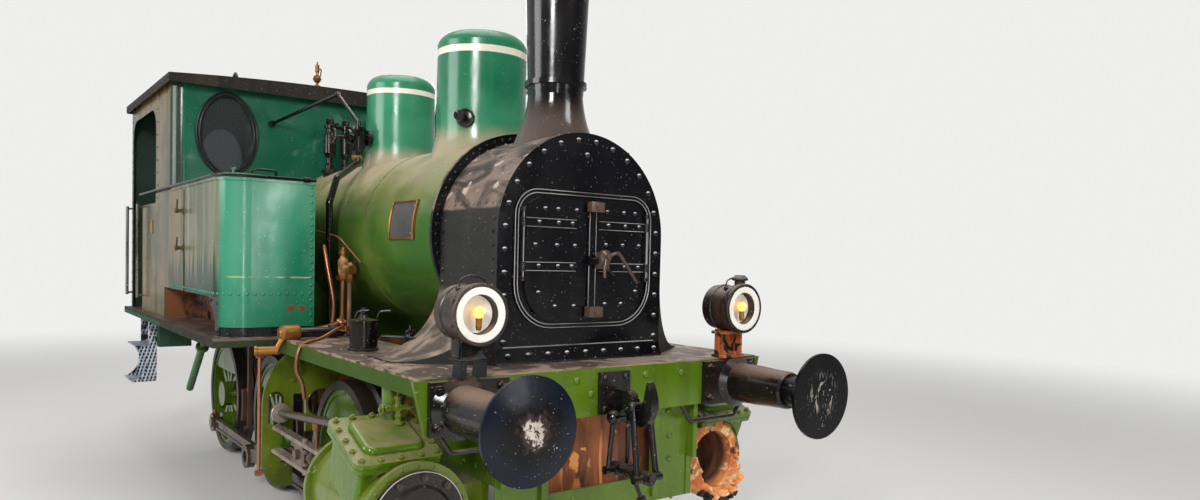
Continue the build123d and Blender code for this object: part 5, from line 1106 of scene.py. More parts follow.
# Handrails and steps
# Bright steel rails beside the doorways; below hang dark chequered treads with lipped edges.
# The chequer is raised in two directions, worn bright on the high spots and filled with dirt.
rail_steel = old_paint("handled steel", (150, 146, 138), (96, 88, 80), dust=0.1, streaks=0.5,
                       streak_colour=(58, 50, 44), gloss=0.2, Metallic=0.85)
paint(rail_steel, "handrails")
chequer = Finish("chequer plate")
slant = chequer.node("Mapping", {"Vector": chequer.place, "Rotation": (radians(45),) * 3,
                                 "Scale": (1, 1, 1)}).outputs[0]
ribs = chequer.node("TexBrick", {"Vector": slant, "Scale": 17.0, "Mortar Size": 0.075, "Mortar Smooth": 0.35,
                                 "Color1": (1, 1, 1, 1), "Color2": (1, 1, 1, 1),
                                 "Mortar": (0, 0, 0, 1)}).outputs["Fac"]
worn = chequer.cloud(9.0, 5, 0.3, 0.52)
plate_tone = chequer.mix(worn, (14, 16, 20), (30, 33, 40))
plate_tone = chequer.mix(chequer.times(ribs, worn), plate_tone, (214, 224, 238))
chequer.surface(plate_tone, chequer.between(worn, 0, 1, 0.32, 0.6), ribs, 0.006, Metallic=0.3)
paint(chequer.material, "cab_steps")

# Cab interior
# The regulator, reversing lever and brake column are painted black, with brass gauges on the firebox front.
# Three round gauges, their pipes and two gauge glasses are what shows through the openings.
paint(iron_black, "cab_controls")
GAUGE_Y = 1.52
dials, dial_faces = bmesh.new(), bmesh.new()
for x, z, r in ((-0.2, 2.52, 0.085), (0.05, 2.56, 0.1), (0.28, 2.5, 0.075)):
    lathe(dials, [(0, -0.03), (r * 0.8, -0.03), (r, -0.02), (r, 0.02), (r * 0.88, 0.024), (r * 0.86, 0.01),
                  (0, 0.01)], (x, GAUGE_Y, z), (0, 1, 0), 28)
    disc(dial_faces, r * 0.84, 0.0105, 0.0125, (x, GAUGE_Y, z), (0, 1, 0), 28)
    tube(dials, rounded([(x, 1.5, z - r), (x, 1.5, 2.36), (x * 0.6, 1.49, 2.3)], 0.03), 0.008)
for x in (-0.28, 0.28):
    tube(dials, [(x, 1.53, 1.98), (x, 1.53, 2.3)], 0.012)
    for z in (1.99, 2.29):
        tube(dials, [(x, 1.465, z), (x, 1.56, z)], 0.017, 10)
finished("cab_gauges", dials, brass)
dial_white = old_paint("gauge face", (214, 208, 190), (196, 188, 166), dust=0.1, gloss=0.3, specks=0.2)
finished("gauge_faces", dial_faces, dial_white)

# Platforms and tool boxes
# Thick running plates lie on the frames, their tops covered in pinkish dust and scraped dirt.
# The front edge is worn and flaking; underneath and round the cab the edge is black and green.
PLATE_TOP, BOX_SIDE = 1.216, 1.249


def trodden(made, tone):
    """Brown plate, scraped pale dust on top with painted shade towards the tanks; green or black edges below.
    """
    up = made.between(made.upwards, 0.7, 0.95)
    scrape = made.cloud(5.0, 8, 0.42, 0.6, stretch=(1, 0.7, 1), distortion=1.2)
    top = made.mix(scrape, (84, 68, 58), (156, 134, 118))
    top = made.mix(made.cloud(22.0, 6, 0.62, 0.68, 0, 0.6), top, (196, 178, 160))
    # Painted shade: the top turns dark brown behind the front, where the tanks stand.
    painted_shade_between_tanks = made.between(made.y, -0.9, -0.3, 0, 0.75)
    top = made.mix(painted_shade_between_tanks, top, (64, 52, 45))
    edge = made.mix(made.cloud(9.0, 6, 0.45, 0.6, stretch=(0.3, 1, 1)), (150, 124, 106), (58, 62, 34))
    edge = made.mix(made.between(made.y, -0.75, -0.68), edge, (34, 30, 27))
    under = made.mix(made.between(made.z, PLATE_TOP - 0.01, PLATE_TOP - 0.016), edge,
                     made.mix(made.between(made.y, -0.74, -0.7), (50, 76, 16), (26, 34, 20)))
    chest = made.times(made.between(made.z, 1.2, 1.196), made.between(made.y, 0.9, 1.0))
    under = made.mix(chest, under, (30, 74, 48))
    return made.mix(up, under, top)


deck_paint = old_paint("trodden deck", (96, 80, 70), (120, 102, 88), streaks=0.1, gloss=0.45, side_dull=0.8,
                       specks=0.3, extra=trodden)
paint(deck_paint, "front_platform", "cab_platform")
lid = bmesh.new()
for side in (-1, 1):
    for y in (2.18, 2.5):
        brick(lid, (side * BOX_SIDE - 0.004, y, 1.02), (side * BOX_SIDE + 0.004, y + 0.05, 1.16))
finished("tool_box_hinges", lid, black_gloss)
deck_marks = [spots(UP, (side * 0.94, -2.7, PLATE_TOP), (side * 0.94, -0.76, PLATE_TOP)) for side in (-1, 1)]
heads("deck_rivets", deck_paint, "dusty_deck", lines=deck_marks, spacing=0.14, size=(0.011, 0.005))

# Frames, stretchers and buffer beams
# Plate frames and beams brushed in a yellower, glossier green than the boiler, rusting behind the wheels.
# Bolts and rivets of several sizes hold the beams, and two bent grab bars hang under the front one.
BEAM_FACE, STRETCHER_FACE, FRAME_X = -2.75, -2.67, 0.628


def frame_wear(made, tone):
    """Rust spreads over the frames behind the wheels and below; the grab bars are black."""
    back = made.between(made.plus(made.y, made.times(made.noise(3.0, 5), 0.6)), -1.75, -1.2, 0, 0.92)
    inner = made.between(made.off(made.x), 0.64, 0.632)
    forward = made.between(made.off(made.lengthwise), 0.5, 0.2)
    rust = made.mix(made.cloud(7.0, 7, 0.4, 0.62, distortion=0.6), (128, 66, 34), (66, 44, 34))
    tone = made.mix(made.times(back, inner, forward), tone, rust)
    hidden = made.times(made.between(made.off(made.x), 0.603, 0.598), made.between(made.y, -2.62, -2.6),
                        made.between(made.y, 2.7, 2.69))
    tone = made.mix(made.times(hidden, 0.9), tone, rust)
    grab = made.times(made.between(made.z, 0.9665, 0.9655), made.between(made.y, -2.7245, -2.7255))
    return made.mix(grab, tone, (34, 27, 24))


frame_green = old_paint("frame green", (72, 100, 12), (88, 116, 22), dust=0.5, streaks=0.3, chips=0.35,
                        chip_colour=(150, 152, 118), gloss=0.14, streak_colour=(48, 56, 22), specks=0.35,
                        extra=frame_wear)
paint(frame_green, "main_frames", "frame_stretchers", "front_buffer_beam", "rear_buffer_beam")
UPPER_BOLTS = ((-0.228, 1.154), (-0.139, 1.081), (0.215, 1.156), (0.47, 1.15), (-0.47, 1.15))
LOWER_BOLTS = ((0.455, 0.93), (0.47, 0.792), (0.47, 0.666), (-0.455, 0.93), (-0.47, 0.792))
beam_bolts = [(Vector((x, BEAM_FACE, z)), FORWARD) for x, z in UPPER_BOLTS]
beam_bolts += [(Vector((x, STRETCHER_FACE, z)), FORWARD) for x, z in LOWER_BOLTS]
heads("beam_bolts", frame_green, "olive_green", points=beam_bolts, size=(0.019, 0.014))
back_bolts = [(Vector((-place.x, -BEAM_FACE, place.z)), -FORWARD) for place, way in beam_bolts[:5]]
heads("rear_beam_bolts", frame_green, "olive_green", points=back_bolts, size=(0.019, 0.014))
frame_rows = [spots(Vector((side, 0, 0)), (side * FRAME_X, -2.6, z), (side * FRAME_X, -2.0, z))
              for side in (-1, 1) for z in (0.73, 1.14)]
heads("frame_rivets", frame_green, "olive_green", lines=frame_rows, spacing=0.1, size=(0.012, 0.008))

# Rusty sheet behind the front stretcher
# A plain sheet closes the tall window of the stretcher from behind; its paint has long gone.
# It is bolted to the frames a little way back and has rusted to bright orange with dark runs.


def blotches(made, tone):
    """Dark scale and bright fresh rust in upright patches."""
    tone = made.mix(made.cloud(4.0, 8, 0.48, 0.6, stretch=(1.6, 1, 0.6), distortion=0.8), tone, (84, 52, 38))
    return made.mix(made.cloud(9.0, 8, 0.56, 0.64, stretch=(1.6, 1, 0.5), distortion=0.8), tone,
                    (216, 140, 72))


bare_sheet = old_paint("bare sheet", (182, 102, 50), (140, 78, 42), streaks=0.95, streak_colour=(52, 36, 30),
                       chips=1.6, chip_colour=(226, 150, 84), gloss=0.5, dust=0.2, extra=blotches)
SHEET_FACE = -2.56
rear_sheet, angles = bmesh.new(), bmesh.new()
for side in (-1, 1):
    x0, x1 = sorted((side * 0.596, side * 0.634))
    brick(angles, (x0, -2.677, 0.45), (x1, -2.671, 0.965))
finished("stretcher_angles", angles, frame_green)
brick(rear_sheet, (-0.56, SHEET_FACE, 0.5), (0.56, SHEET_FACE + 0.005, 0.985))
finished("stretcher_sheet", rear_sheet, bare_sheet)
heads("stretcher_sheet_bolts", bare_sheet, "rusty_iron",
      points=[(Vector((x, SHEET_FACE, z)), FORWARD) for x in (-0.3, -0.1, 0.1, 0.3) for z in (0.62, 0.93)],
      size=(0.012, 0.009))

# Injector overflow pipes
# A painted pipe slants down from under each platform and throws the injector's spill clear of the wheels.
# It is cut from plain tube, open below, and hangs on a bolted elbow.
SPILL_X = 1.2
spill, elbow_bolts = bmesh.new(), []
for side in (-1, 1):
    top, foot = Vector((side * SPILL_X, 0.64, 1.03)), Vector((side * SPILL_X, 1.06, 0.665))
    along = (foot - top).normalized()
    length = (foot - top).length
    tube(spill, rounded([(side * SPILL_X, 0.52, 1.172), (side * SPILL_X, 0.56, 1.09),
                         tuple(top + along * 0.05)], 0.05), 0.024, 14)
    lathe(spill, [(0, 0), (0.027, 0), (0.027, length), (0.021, length), (0.021, length - 0.08),
                  (0, length - 0.08)], top, along, 20)
    disc(spill, 0.046, -0.012, 0.012, top, along, 20)
    brick(spill, (side * SPILL_X - 0.045, 0.47, 1.15), (side * SPILL_X + 0.045, 0.57, 1.16))
    elbow_bolts += [(top + Vector((dx, 0, 0)) - along * 0.012, -along) for dx in (-0.036, 0.036)]
spill_green = old_paint("spill green", (34, 74, 34), (50, 94, 44), dust=0.2, streaks=0.3, chips=0.4,
                        gloss=0.2, specks=0.4)
finished("overflow_pipes", spill, spill_green)
heads("overflow_bolts", spill_green, "olive_green", points=elbow_bolts, size=(0.009, 0.008), tree=nut_tree,
      seed=3)

# Buffers
# Cast tapered housings on square bases held by four large nuts; forged discs in blue-black gloss.
# The right disc of the engine is worn to bare metal in its middle, the flat one is scuffed white.
DISC_Z, DISC_X = 1.078, 0.875
BASE = {"x": 0.825, "face": 2.778, "z": 1.083}


def disc_wear(made, tone):
    """Bare worn patch in the middle of each domed disc, scuffs and old grease round it, painted blue
    reflection outside.
    """
    def away(x, z):
        across = made.math("SUBTRACT", made.x, x)
        high = made.math("SUBTRACT", made.z, z)
        return made.math("SQRT", made.plus(made.times(across, across), made.times(high, high)))

    outer = made.between(made.off(made.y), 3.2, 3.24)
    domed = made.between(made.times(made.x, made.y), 0.5, 1.0)
    ring = made.math("MINIMUM", away(-DISC_X, DISC_Z), away(DISC_X, DISC_Z))
    ragged = made.plus(ring, made.times(made.math("SUBTRACT", made.noise(14.0, 7, distortion=1.0), 0.5),
                                        0.16))
    # Painted reflection: the outer part of each domed disc turns blue.
    painted_blue_reflection = made.between(ragged, 0.1, 0.17)
    tone = made.mix(made.times(painted_blue_reflection, outer, 0.75, domed), tone, (15, 24, 38))
    grease = made.times(made.between(ragged, 0.085, 0.055), outer, domed, 0.85)
    tone = made.mix(grease, tone, (58, 44, 38))
    flecks = made.cloud(38.0, 8, 0.4, 0.52, distortion=1.2)
    bare = made.times(made.between(ragged, 0.052, 0.036), outer, domed, flecks)
    tone = made.mix(bare, tone, (190, 180, 166))
    rubbed = made.times(made.cloud(16.0, 9, 0.57, 0.62, stretch=(2.6, 1, 1), distortion=1.2),
                        made.between(ring, 0.15, 0.03), outer, made.math("SUBTRACT", 1.0, domed))
    tone = made.mix(rubbed, tone, (168, 162, 152))
    scuff = made.times(made.cloud(60.0, 8, 0.69, 0.72, distortion=1.5), made.between(ring, 0.21, 0.12),
                       outer)
    return made.mix(made.times(scuff, 0.8), tone, (176, 176, 172))


disc_black = old_paint("disc black", (4, 5, 8), (8, 10, 15), dust=0.1, streaks=0.2,
                       streak_colour=(38, 32, 30), specks=0.4, gloss=0.14, extra=disc_wear,
                       Specular_IOR_Level=0.22)
paint(disc_black, "buffer_heads")
housing_black = old_paint("housing black", (8, 7, 8), (24, 20, 19), dust=0.95, dust_colour=(128, 104, 88),
                          streaks=0.25, streak_colour=(54, 40, 32), specks=0.6, gloss=0.14)
paint(housing_black, "buffer_housings")
base_nuts = [(Vector((side * BASE["x"] + dx, end * BASE["face"], BASE["z"] + dz)), Vector((0, end, 0)))
             for end in (-1, 1) for side in (-1, 1) for dx in (-0.16, 0.16) for dz in (-0.085, 0.085)]
heads("buffer_base_nuts", housing_black, "black_paint", points=base_nuts, size=(0.023, 0.022), tree=nut_tree,
      seed=5)

# Drawhook and screw coupling
# Forged hook on a riveted plate, with its shackle, screw and hanging bow, all in thick black gloss.
# Brown chips show where it has been knocked, and streaks of grease run down it.
coupling_black = old_paint("coupling black", (7, 7, 9), (15, 14, 15), dust=0.15, streaks=0.25,
                           streak_colour=(56, 42, 34), specks=0.5, chips=0.5, chip_colour=(104, 80, 66),
                           gloss=0.1)
paint(coupling_black, "screw_couplings")
forged = bmesh.new()
PLATE_Y, BOWL_Y, BOWL_Z = 2.772, -2.97, 1.072
for end in (-1, 1):
    outline = [(-PLATE_Y, 1.034), (-2.86, 1.03)]
    outline += [(BOWL_Y + 0.105 * cos(a), BOWL_Z - 0.024 + 0.105 * sin(a))
                for a in (radians(d) for d in range(-35, -181, -12))]
    outline += [(-3.074, 1.085), (-3.066, 1.125), (-3.05, 1.16), (-3.038, 1.172), (-3.03, 1.16),
                (-3.03, 1.12), (-3.02, 1.09)]
    outline += [(BOWL_Y + 0.0425 * cos(a), BOWL_Z + 0.0425 * sin(a))
                for a in (radians(d) for d in range(-170, 11, 15))]
    outline += [(-2.918, 1.092), (-2.9, 1.112), (-2.86, 1.106), (-PLATE_Y, 1.104)]
    start = len(forged.edges)
    slab(forged, [(-0.024, -end * y, z) for y, z in outline], (0.048, 0, 0))
    forged.edges.ensure_lookup_table()
    bmesh.ops.bevel(forged, geom=forged.edges[start:], offset=0.007, segments=2, affect="EDGES",
                    clamp_overlap=True)
    low, high = sorted((end * 2.75, end * PLATE_Y))
    brick(forged, (-0.095, low, 0.978), (0.095, high, 1.188))
    tube(forged, [(0, end * 2.76, 1.05), (0, end * 2.8, 1.05)], 0.048, 16)
    low, high = sorted((end * 2.77, end * 2.842))
    brick(forged, (-0.022, low, 0.945), (0.022, high, 1.036))
    lathe(forged, [(0, -0.062), (0.02, -0.062), (0.022, -0.058), (0.022, 0.058), (0.02, 0.062), (0, 0.062)],
          (0, end * 2.822, 0.968), (1, 0, 0), 16)
hook_piece = finished("hook_forgings", forged, coupling_black)
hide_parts("drawhooks")
plate_heads = [(Vector((x, end * PLATE_Y, z)), Vector((0, end, 0)))
               for end in (-1, 1) for x in (-0.066, 0.066) for z in (1.005, 1.16)]
heads("hook_plate_rivets", coupling_black, "black_paint", points=plate_heads, size=(0.017, 0.012))

# Lamps
# Round lamps of dark brown sheet: a banded can, a white ring and a white bowl round a bulb on a brass socket.
# A wire loop serves to carry each; the left one has a small vent cap.
LAMP_X, LAMP_Z, LENS_Y = 0.83, 1.498, -2.865
lamp_brown = old_paint("lamp brown", (22, 16, 14), (50, 38, 32), dust=0.5, dust_colour=(158, 140, 128),
                       streaks=0.4, streak_colour=(92, 62, 44), chips=0.6, specks=0.5, gloss=0.3)
lamp_white = old_paint("lamp white", (236, 234, 226), (226, 222, 210), dust=0.05, streaks=0.08, gloss=0.3)
cans, whites, sockets, bulbs = bmesh.new(), bmesh.new(), bmesh.new(), bmesh.new()
for side in (-1, 1):
    x = side * LAMP_X
    lens_at = (x, LENS_Y, LAMP_Z)
    lathe(cans, [(0, -0.22), (0.112, -0.22), (0.124, -0.208), (0.124, -0.17), (0.129, -0.166),
                 (0.129, -0.146), (0.124, -0.142), (0.124, -0.06), (0.133, -0.056), (0.133, -0.04),
                 (0.126, -0.036), (0.126, -0.026), (0.138, -0.022), (0.138, -0.002), (0.134, 0.002),
                 (0.122, 0.002), (0.122, -0.008), (0.089, -0.008), (0.085, -0.064), (0, -0.064)], lens_at,
          FORWARD, 48)
    lathe(whites, [(0.0885, -0.007), (0.1215, -0.007), (0.1215, 0.0), (0.1195, 0.0015), (0.0905, 0.0015),
                   (0.0885, 0.0), (0.0885, -0.007)], lens_at, FORWARD, 48)
    lathe(whites, [(0, -0.063), (0.083, -0.063), (0.083, -0.05), (0.079, -0.05), (0.06, -0.056),
                   (0.03, -0.0585), (0, -0.059)], lens_at, FORWARD, 40)
    lathe(bulbs, [(0, -0.029), (0.012, -0.027), (0.016, -0.018), (0.024, -0.008), (0.027, 0.003),
                  (0.025, 0.014), (0.016, 0.024), (0, 0.028)], (x, LENS_Y + 0.022, LAMP_Z + 0.008), UP, 20)
    lathe(sockets, [(0, -0.078), (0.01, -0.078), (0.012, -0.07), (0.015, -0.06), (0.013, -0.056),
                    (0.015, -0.052), (0.013, -0.048), (0.015, -0.044), (0.013, -0.04), (0.015, -0.03),
                    (0.013, -0.019), (0, -0.019)], (x, LENS_Y + 0.022, LAMP_Z + 0.008), UP, 16)
    loop = [(x - 0.072, LENS_Y + 0.075, LAMP_Z + 0.098), (x - 0.066, LENS_Y + 0.085, LAMP_Z + 0.15),
            (x, LENS_Y + 0.09, LAMP_Z + 0.172), (x + 0.066, LENS_Y + 0.085, LAMP_Z + 0.15),
            (x + 0.072, LENS_Y + 0.075, LAMP_Z + 0.098)]
    tube(cans, rounded(loop, 0.03), 0.0045, 8)
    for dx in (-0.072, 0.072):
        disc(cans, 0.01, -0.012, 0.01, (x + dx, LENS_Y + 0.075, LAMP_Z + 0.108), (1, 0, 0), 10)
    for z, dz in ((LAMP_Z + 0.05, 0.02), (LAMP_Z - 0.04, 0.014)):
        brick(cans, (x - 0.134, LENS_Y + 0.016, z - dz), (x - 0.122, LENS_Y + 0.052, z + dz))
        brick(cans, (x + 0.122, LENS_Y + 0.016, z - dz), (x + 0.134, LENS_Y + 0.052, z + dz))
lathe(cans, [(0, 0.1), (0.03, 0.1), (0.03, 0.15), (0.046, 0.156), (0.046, 0.166), (0.026, 0.184),
             (0, 0.184)], (LAMP_X + 0.03, LENS_Y + 0.07, LAMP_Z), UP, 24)
can_piece = finished("lamp_cans", cans, lamp_brown)
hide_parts("lamps")
finished("lamp_bowls", whites, lamp_white)
finished("lamp_sockets", sockets, brass)
lit = Finish("warm bulb")
warm = lit.cloud(30.0, 3, 0.3, 0.7)
lit.surface(lit.mix(warm, (255, 214, 120), (255, 176, 60)), warm, Emission_Color=srgb(255, 186, 78),
            Emission_Strength=1.6)
finished("lamp_bulbs", bulbs, lit.material)

# Lamp brackets
# Folded sheet feet: the right one is black, with a flared front plate on two small legs;
# the left one is a stout angle that has rusted bright orange, bolted to the platform.
bracket_black = old_paint("bracket black", (8, 8, 10), (20, 23, 28), dust=0.3, streaks=0.4,
                          streak_colour=(76, 58, 46), chips=0.6, specks=0.5, gloss=0.22,
                          Specular_IOR_Level=0.25)


def black_rests(made, tone):
    """What is left of the black paint lies in ragged patches on the rust."""
    left = made.cloud(13.0, 7, 0.53, 0.57, distortion=1.0)
    return made.mix(left, tone, (26, 24, 26))


bracket_rust = old_paint("bracket rust", (178, 96, 50), (128, 66, 38), dust=0.2, streaks=0.5,
                         streak_colour=(70, 44, 32), chips=0.4, chip_colour=(66, 42, 32), gloss=0.45,
                         extra=black_rests)
foot_parts, rusty_foot = bmesh.new(), bmesh.new()
x, y = -LAMP_X, LENS_Y + 0.095
slab(foot_parts, [(x - 0.044, y - 0.004, 1.374), (x + 0.052, y - 0.004, 1.374),
                  (x + 0.052, y - 0.006, 1.345), (x + 0.06, y - 0.018, 1.312), (x + 0.072, y - 0.034, 1.296),
                  (x - 0.062, y - 0.034, 1.296), (x - 0.052, y - 0.018, 1.312),
                  (x - 0.044, y - 0.006, 1.345)], (0, 0.006, 0))
brick(foot_parts, (x - 0.066, y - 0.036, 1.288), (x + 0.076, y + 0.09, 1.296))
brick(foot_parts, (x - 0.052, y + 0.004, 1.296), (x - 0.044, y + 0.08, 1.39))
brick(foot_parts, (x + 0.046, y + 0.004, 1.296), (x + 0.054, y + 0.08, 1.39))
for dx in (-0.06, 0.04):
    slab(foot_parts, [(x + dx, y - 0.03, 1.29), (x + dx + 0.03, y - 0.03, 1.29),
                      (x + dx + 0.026, y - 0.036, PLATE_TOP), (x + dx - 0.01, y - 0.036, PLATE_TOP)],
         (0, 0.07, 0))
finished("lamp_foot_right", foot_parts, bracket_black)
x = LAMP_X
brick(rusty_foot, (x - 0.08, y - 0.02, PLATE_TOP), (x + 0.09, y + 0.075, 1.232))
brick(rusty_foot, (x + 0.052, y - 0.02, 1.23), (x + 0.068, y + 0.075, 1.375))
brick(rusty_foot, (x - 0.06, y + 0.055, 1.23), (x + 0.054, y + 0.071, 1.375))
brick(rusty_foot, (x - 0.09, y - 0.015, 1.35), (x + 0.08, y + 0.068, 1.366))
slab(rusty_foot, [(x - 0.06, y + 0.05, 1.232), (x - 0.06, y - 0.015, 1.232), (x - 0.06, y + 0.05, 1.35)],
     (0.01, 0, 0))
rusty_piece = finished("lamp_foot_left", rusty_foot, bracket_rust)
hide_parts("lamp_brackets")
heads("lamp_foot_bolts", bracket_rust, "black_paint",
      points=[(Vector((x + dx, y, 1.232)), UP) for dx in (-0.05, 0.03)], size=(0.012, 0.012), tree=nut_tree)

# Cylinders, covers and steam chests
# Castings in glossy frame green. A black cover closes the sound cylinder with a ring of brown nuts;
# the chest leans over it, its lid and double flange held down by studs all the way round.
CYLINDER = {"x": 1.0, "z": 0.563, "front": -2.62, "back": -1.87}
LID = {"x": 1.051, "y": -2.38, "z": 0.9, "width": 0.422, "long": 0.4067, "tilt": atan2(145, 380)}


def casting_wear(made, tone):
    """Darker towards the bottom of the castings; dusty beige lies on the upward edges."""
    low = made.between(made.plus(made.z, made.times(made.noise(4.0, 6), 0.25)), 0.62, 0.42, 0, 0.55)
    tone = made.mix(low, tone, (52, 60, 26))
    edge = made.between(made.plus(made.upwards, made.times(made.noise(9.0, 6, distortion=0.6), 0.5)), 1.02,
                        1.28, 0, 0.7)
    return made.mix(edge, tone, (150, 138, 98))


casting_green = old_paint("casting green", (92, 108, 22), (112, 124, 40), dust=0.2, streaks=0.3,
                          streak_colour=(46, 50, 22), chips=0.4, gloss=0.1, chip_colour=(142, 138, 104),
                          specks=0.5, extra=casting_wear)


def chest_steel(made, tone):
    """The valve rod that the chest carries is oily brown steel, not painted."""
    return made.mix(made.between(made.y, -2.068, -2.062), casting_wear(made, tone), (60, 47, 39))


chest_green = old_paint("chest green", (78, 108, 12), (98, 128, 26), dust=0.12, streaks=0.3,
                        streak_colour=(46, 50, 22), chips=0.4, gloss=0.1, chip_colour=(142, 138, 104),
                        specks=0.5, extra=chest_steel)
paint(casting_green, "cylinder_right")
paint(chest_green, "valve_chests")
cover_black = old_paint("cover black", (7, 6, 7), (17, 14, 13), dust=0.15, streaks=0.2,
                        streak_colour=(72, 48, 34), specks=0.5, gloss=0.2)
paint(cover_black, "cylinder_covers")
stud_brown = old_paint("oiled studs", (72, 64, 62), (30, 27, 26), dust=0.2, streaks=0.4, specks=0.4,
                       gloss=0.28, Metallic=0.5)


def ring_points(x, y, z, radius, count, way, start=0.0):
    """Points round a circle that faces along the engine."""
    turns = (start + 2 * pi * k / count for k in range(count))
    return [(Vector((x + radius * cos(a), y, z + radius * sin(a))), way) for a in turns]


cover_nuts = ring_points(-CYLINDER["x"], CYLINDER["front"] - 0.0225, CYLINDER["z"], 0.197, 10, FORWARD, 0.2)
for side in (-1, 1):
    cover_nuts += ring_points(side * CYLINDER["x"], CYLINDER["back"] + 0.024, CYLINDER["z"], 0.2, 10,
                              -FORWARD, 0.2)
heads("cover_nuts", stud_brown, "worked_steel", points=cover_nuts, size=(0.017, 0.017), tree=nut_tree,
      seed=7)
rim_rivets = ring_points(-CYLINDER["x"], CYLINDER["front"], CYLINDER["z"], 0.244, 20, FORWARD)
heads("cylinder_rim_screws", casting_green, "olive_green", points=rim_rivets, size=(0.009, 0.006))
slope = Vector((0, cos(LID["tilt"]), sin(LID["tilt"])))
lid_up = Vector((0, -sin(LID["tilt"]), cos(LID["tilt"])))
chest_nuts, chest_feet = [], []
for side in (-1, 1):
    middle = Vector((side * LID["x"], LID["y"], LID["z"]))
    half_w, half_l = LID["width"] / 2 - 0.02, LID["long"] / 2 - 0.02
    along = [(-1, -1), (-0.5, -1), (0, -1), (0.5, -1), (1, -1), (1, -0.5), (1, 0), (1, 0.5), (1, 1),
             (0.5, 1), (0, 1), (-0.5, 1), (-1, 1), (-1, 0.5), (-1, 0), (-1, -0.5)]
    for a, b in along:
        if abs(a) == 1 and abs(b) == 1:
            a, b = a * 0.93, b * 0.93
        place = middle + Vector((1, 0, 0)) * a * half_w + slope * b * half_l
        chest_nuts.append((place, lid_up))
        chest_feet.append((place - lid_up * 0.0525, -lid_up))
heads("chest_nuts", casting_green, "olive_green", points=chest_nuts, size=(0.015, 0.016), tree=nut_tree,
      seed=11)
heads("chest_stud_ends", casting_green, "olive_green", points=chest_feet, size=(0.013, 0.013), tree=nut_tree,
      seed=12)

cover_face = landing("cylinder_covers", (-CYLINDER["x"] + 0.212, -3.3, CYLINDER["z"]), (0, 1, 0)).y
# Pale rings on the cover's edges: painted highlights on rubbed paint.
cover_rings = bmesh.new()
for radius in (0.222, 0.128):
    circle = ring_points(-CYLINDER["x"], cover_face - 0.0005, CYLINDER["z"], radius, 64, FORWARD)
    tube(cover_rings, [place for place, way in circle], 0.0024, 6, closed=True)
finished("cover_edges", cover_rings, edge_highlight_and_wear)

# Lubricator and drain gear
# A small green displacement valve with a hand wheel stands beside the steam pipe. Copper drain cocks with
# short pipes hang below each cylinder, and a thin level rod joins and works them.
small_green, drains = bmesh.new(), bmesh.new()
for side in (-1, 1):
    x, y, z = side * 0.97, -2.33, 1.02
    lathe(small_green, [(0, 0.0), (0.05, 0.0), (0.05, 0.016), (0.04, 0.018), (0.04, 0.03), (0, 0.03)],
          (side * 0.985, -2.27, 0.988), UP, 20)
    lathe(small_green, [(0, -0.078), (0.01, -0.078), (0.01, -0.06), (0.019, -0.058), (0.019, -0.04),
                        (0.014, -0.036), (0.014, -0.016), (0.023, -0.012), (0.023, 0.012), (0.014, 0.016),
                        (0.014, 0.036), (0.02, 0.04), (0.02, 0.062), (0.012, 0.066), (0.012, 0.074),
                        (0, 0.074)], (x, y, z), (side, 0, 0), 14)
    wheel(small_green, (x + side * 0.082, y, z), (side, 0, 0), 0.024, 0.0045)
    foot = landing("valve_chests", (x, y - 0.008, 1.3), (0, 0, -1)).z
    lathe(small_green, [(0, 0), (0.03, 0), (0.03, 0.01), (0.016, 0.014), (0.014, 0.03), (0.019, 0.034),
                        (0.019, 0.048), (0.014, 0.052), (0.014, z - foot), (0, z - foot)],
          (x, y - 0.008, foot - 0.002), UP, 14)
    lathe(small_green, [(0.014, 0), (0.014, 0.04), (0.02, 0.044), (0.02, 0.058), (0.008, 0.062),
                        (0.008, 0.074), (0, 0.074)], (x, y, z), UP, 12)
    for y in (CYLINDER["front"] + 0.1, CYLINDER["back"] - 0.1):
        lathe(drains, [(0, -0.055), (0.014, -0.055), (0.02, -0.04), (0.02, -0.012), (0.013, -0.004),
                       (0.013, 0.018), (0, 0.018)], (side * 1.0, y, 0.332), UP, 12)
        tube(drains, rounded([(side * 1.0, y, 0.284), (side * 1.0, y, 0.255), (side * 1.0, y - 0.16, 0.235)],
                             0.03), 0.01, 10)
    tube(drains, [(side * 1.035, CYLINDER["front"] + 0.06, 0.3), (side * 1.035, -1.72, 0.3)], 0.007, 8)
finished("lubricator_valves", small_green, casting_green)
finished("cylinder_drains", drains, copper)

# Broken cylinder
# The front of the left cylinder has split off. The torn iron is scaly orange, jagged round the bore,
# which is dark with old oil; green paint is left on the casting, and a piece of the cover hangs on its nuts.


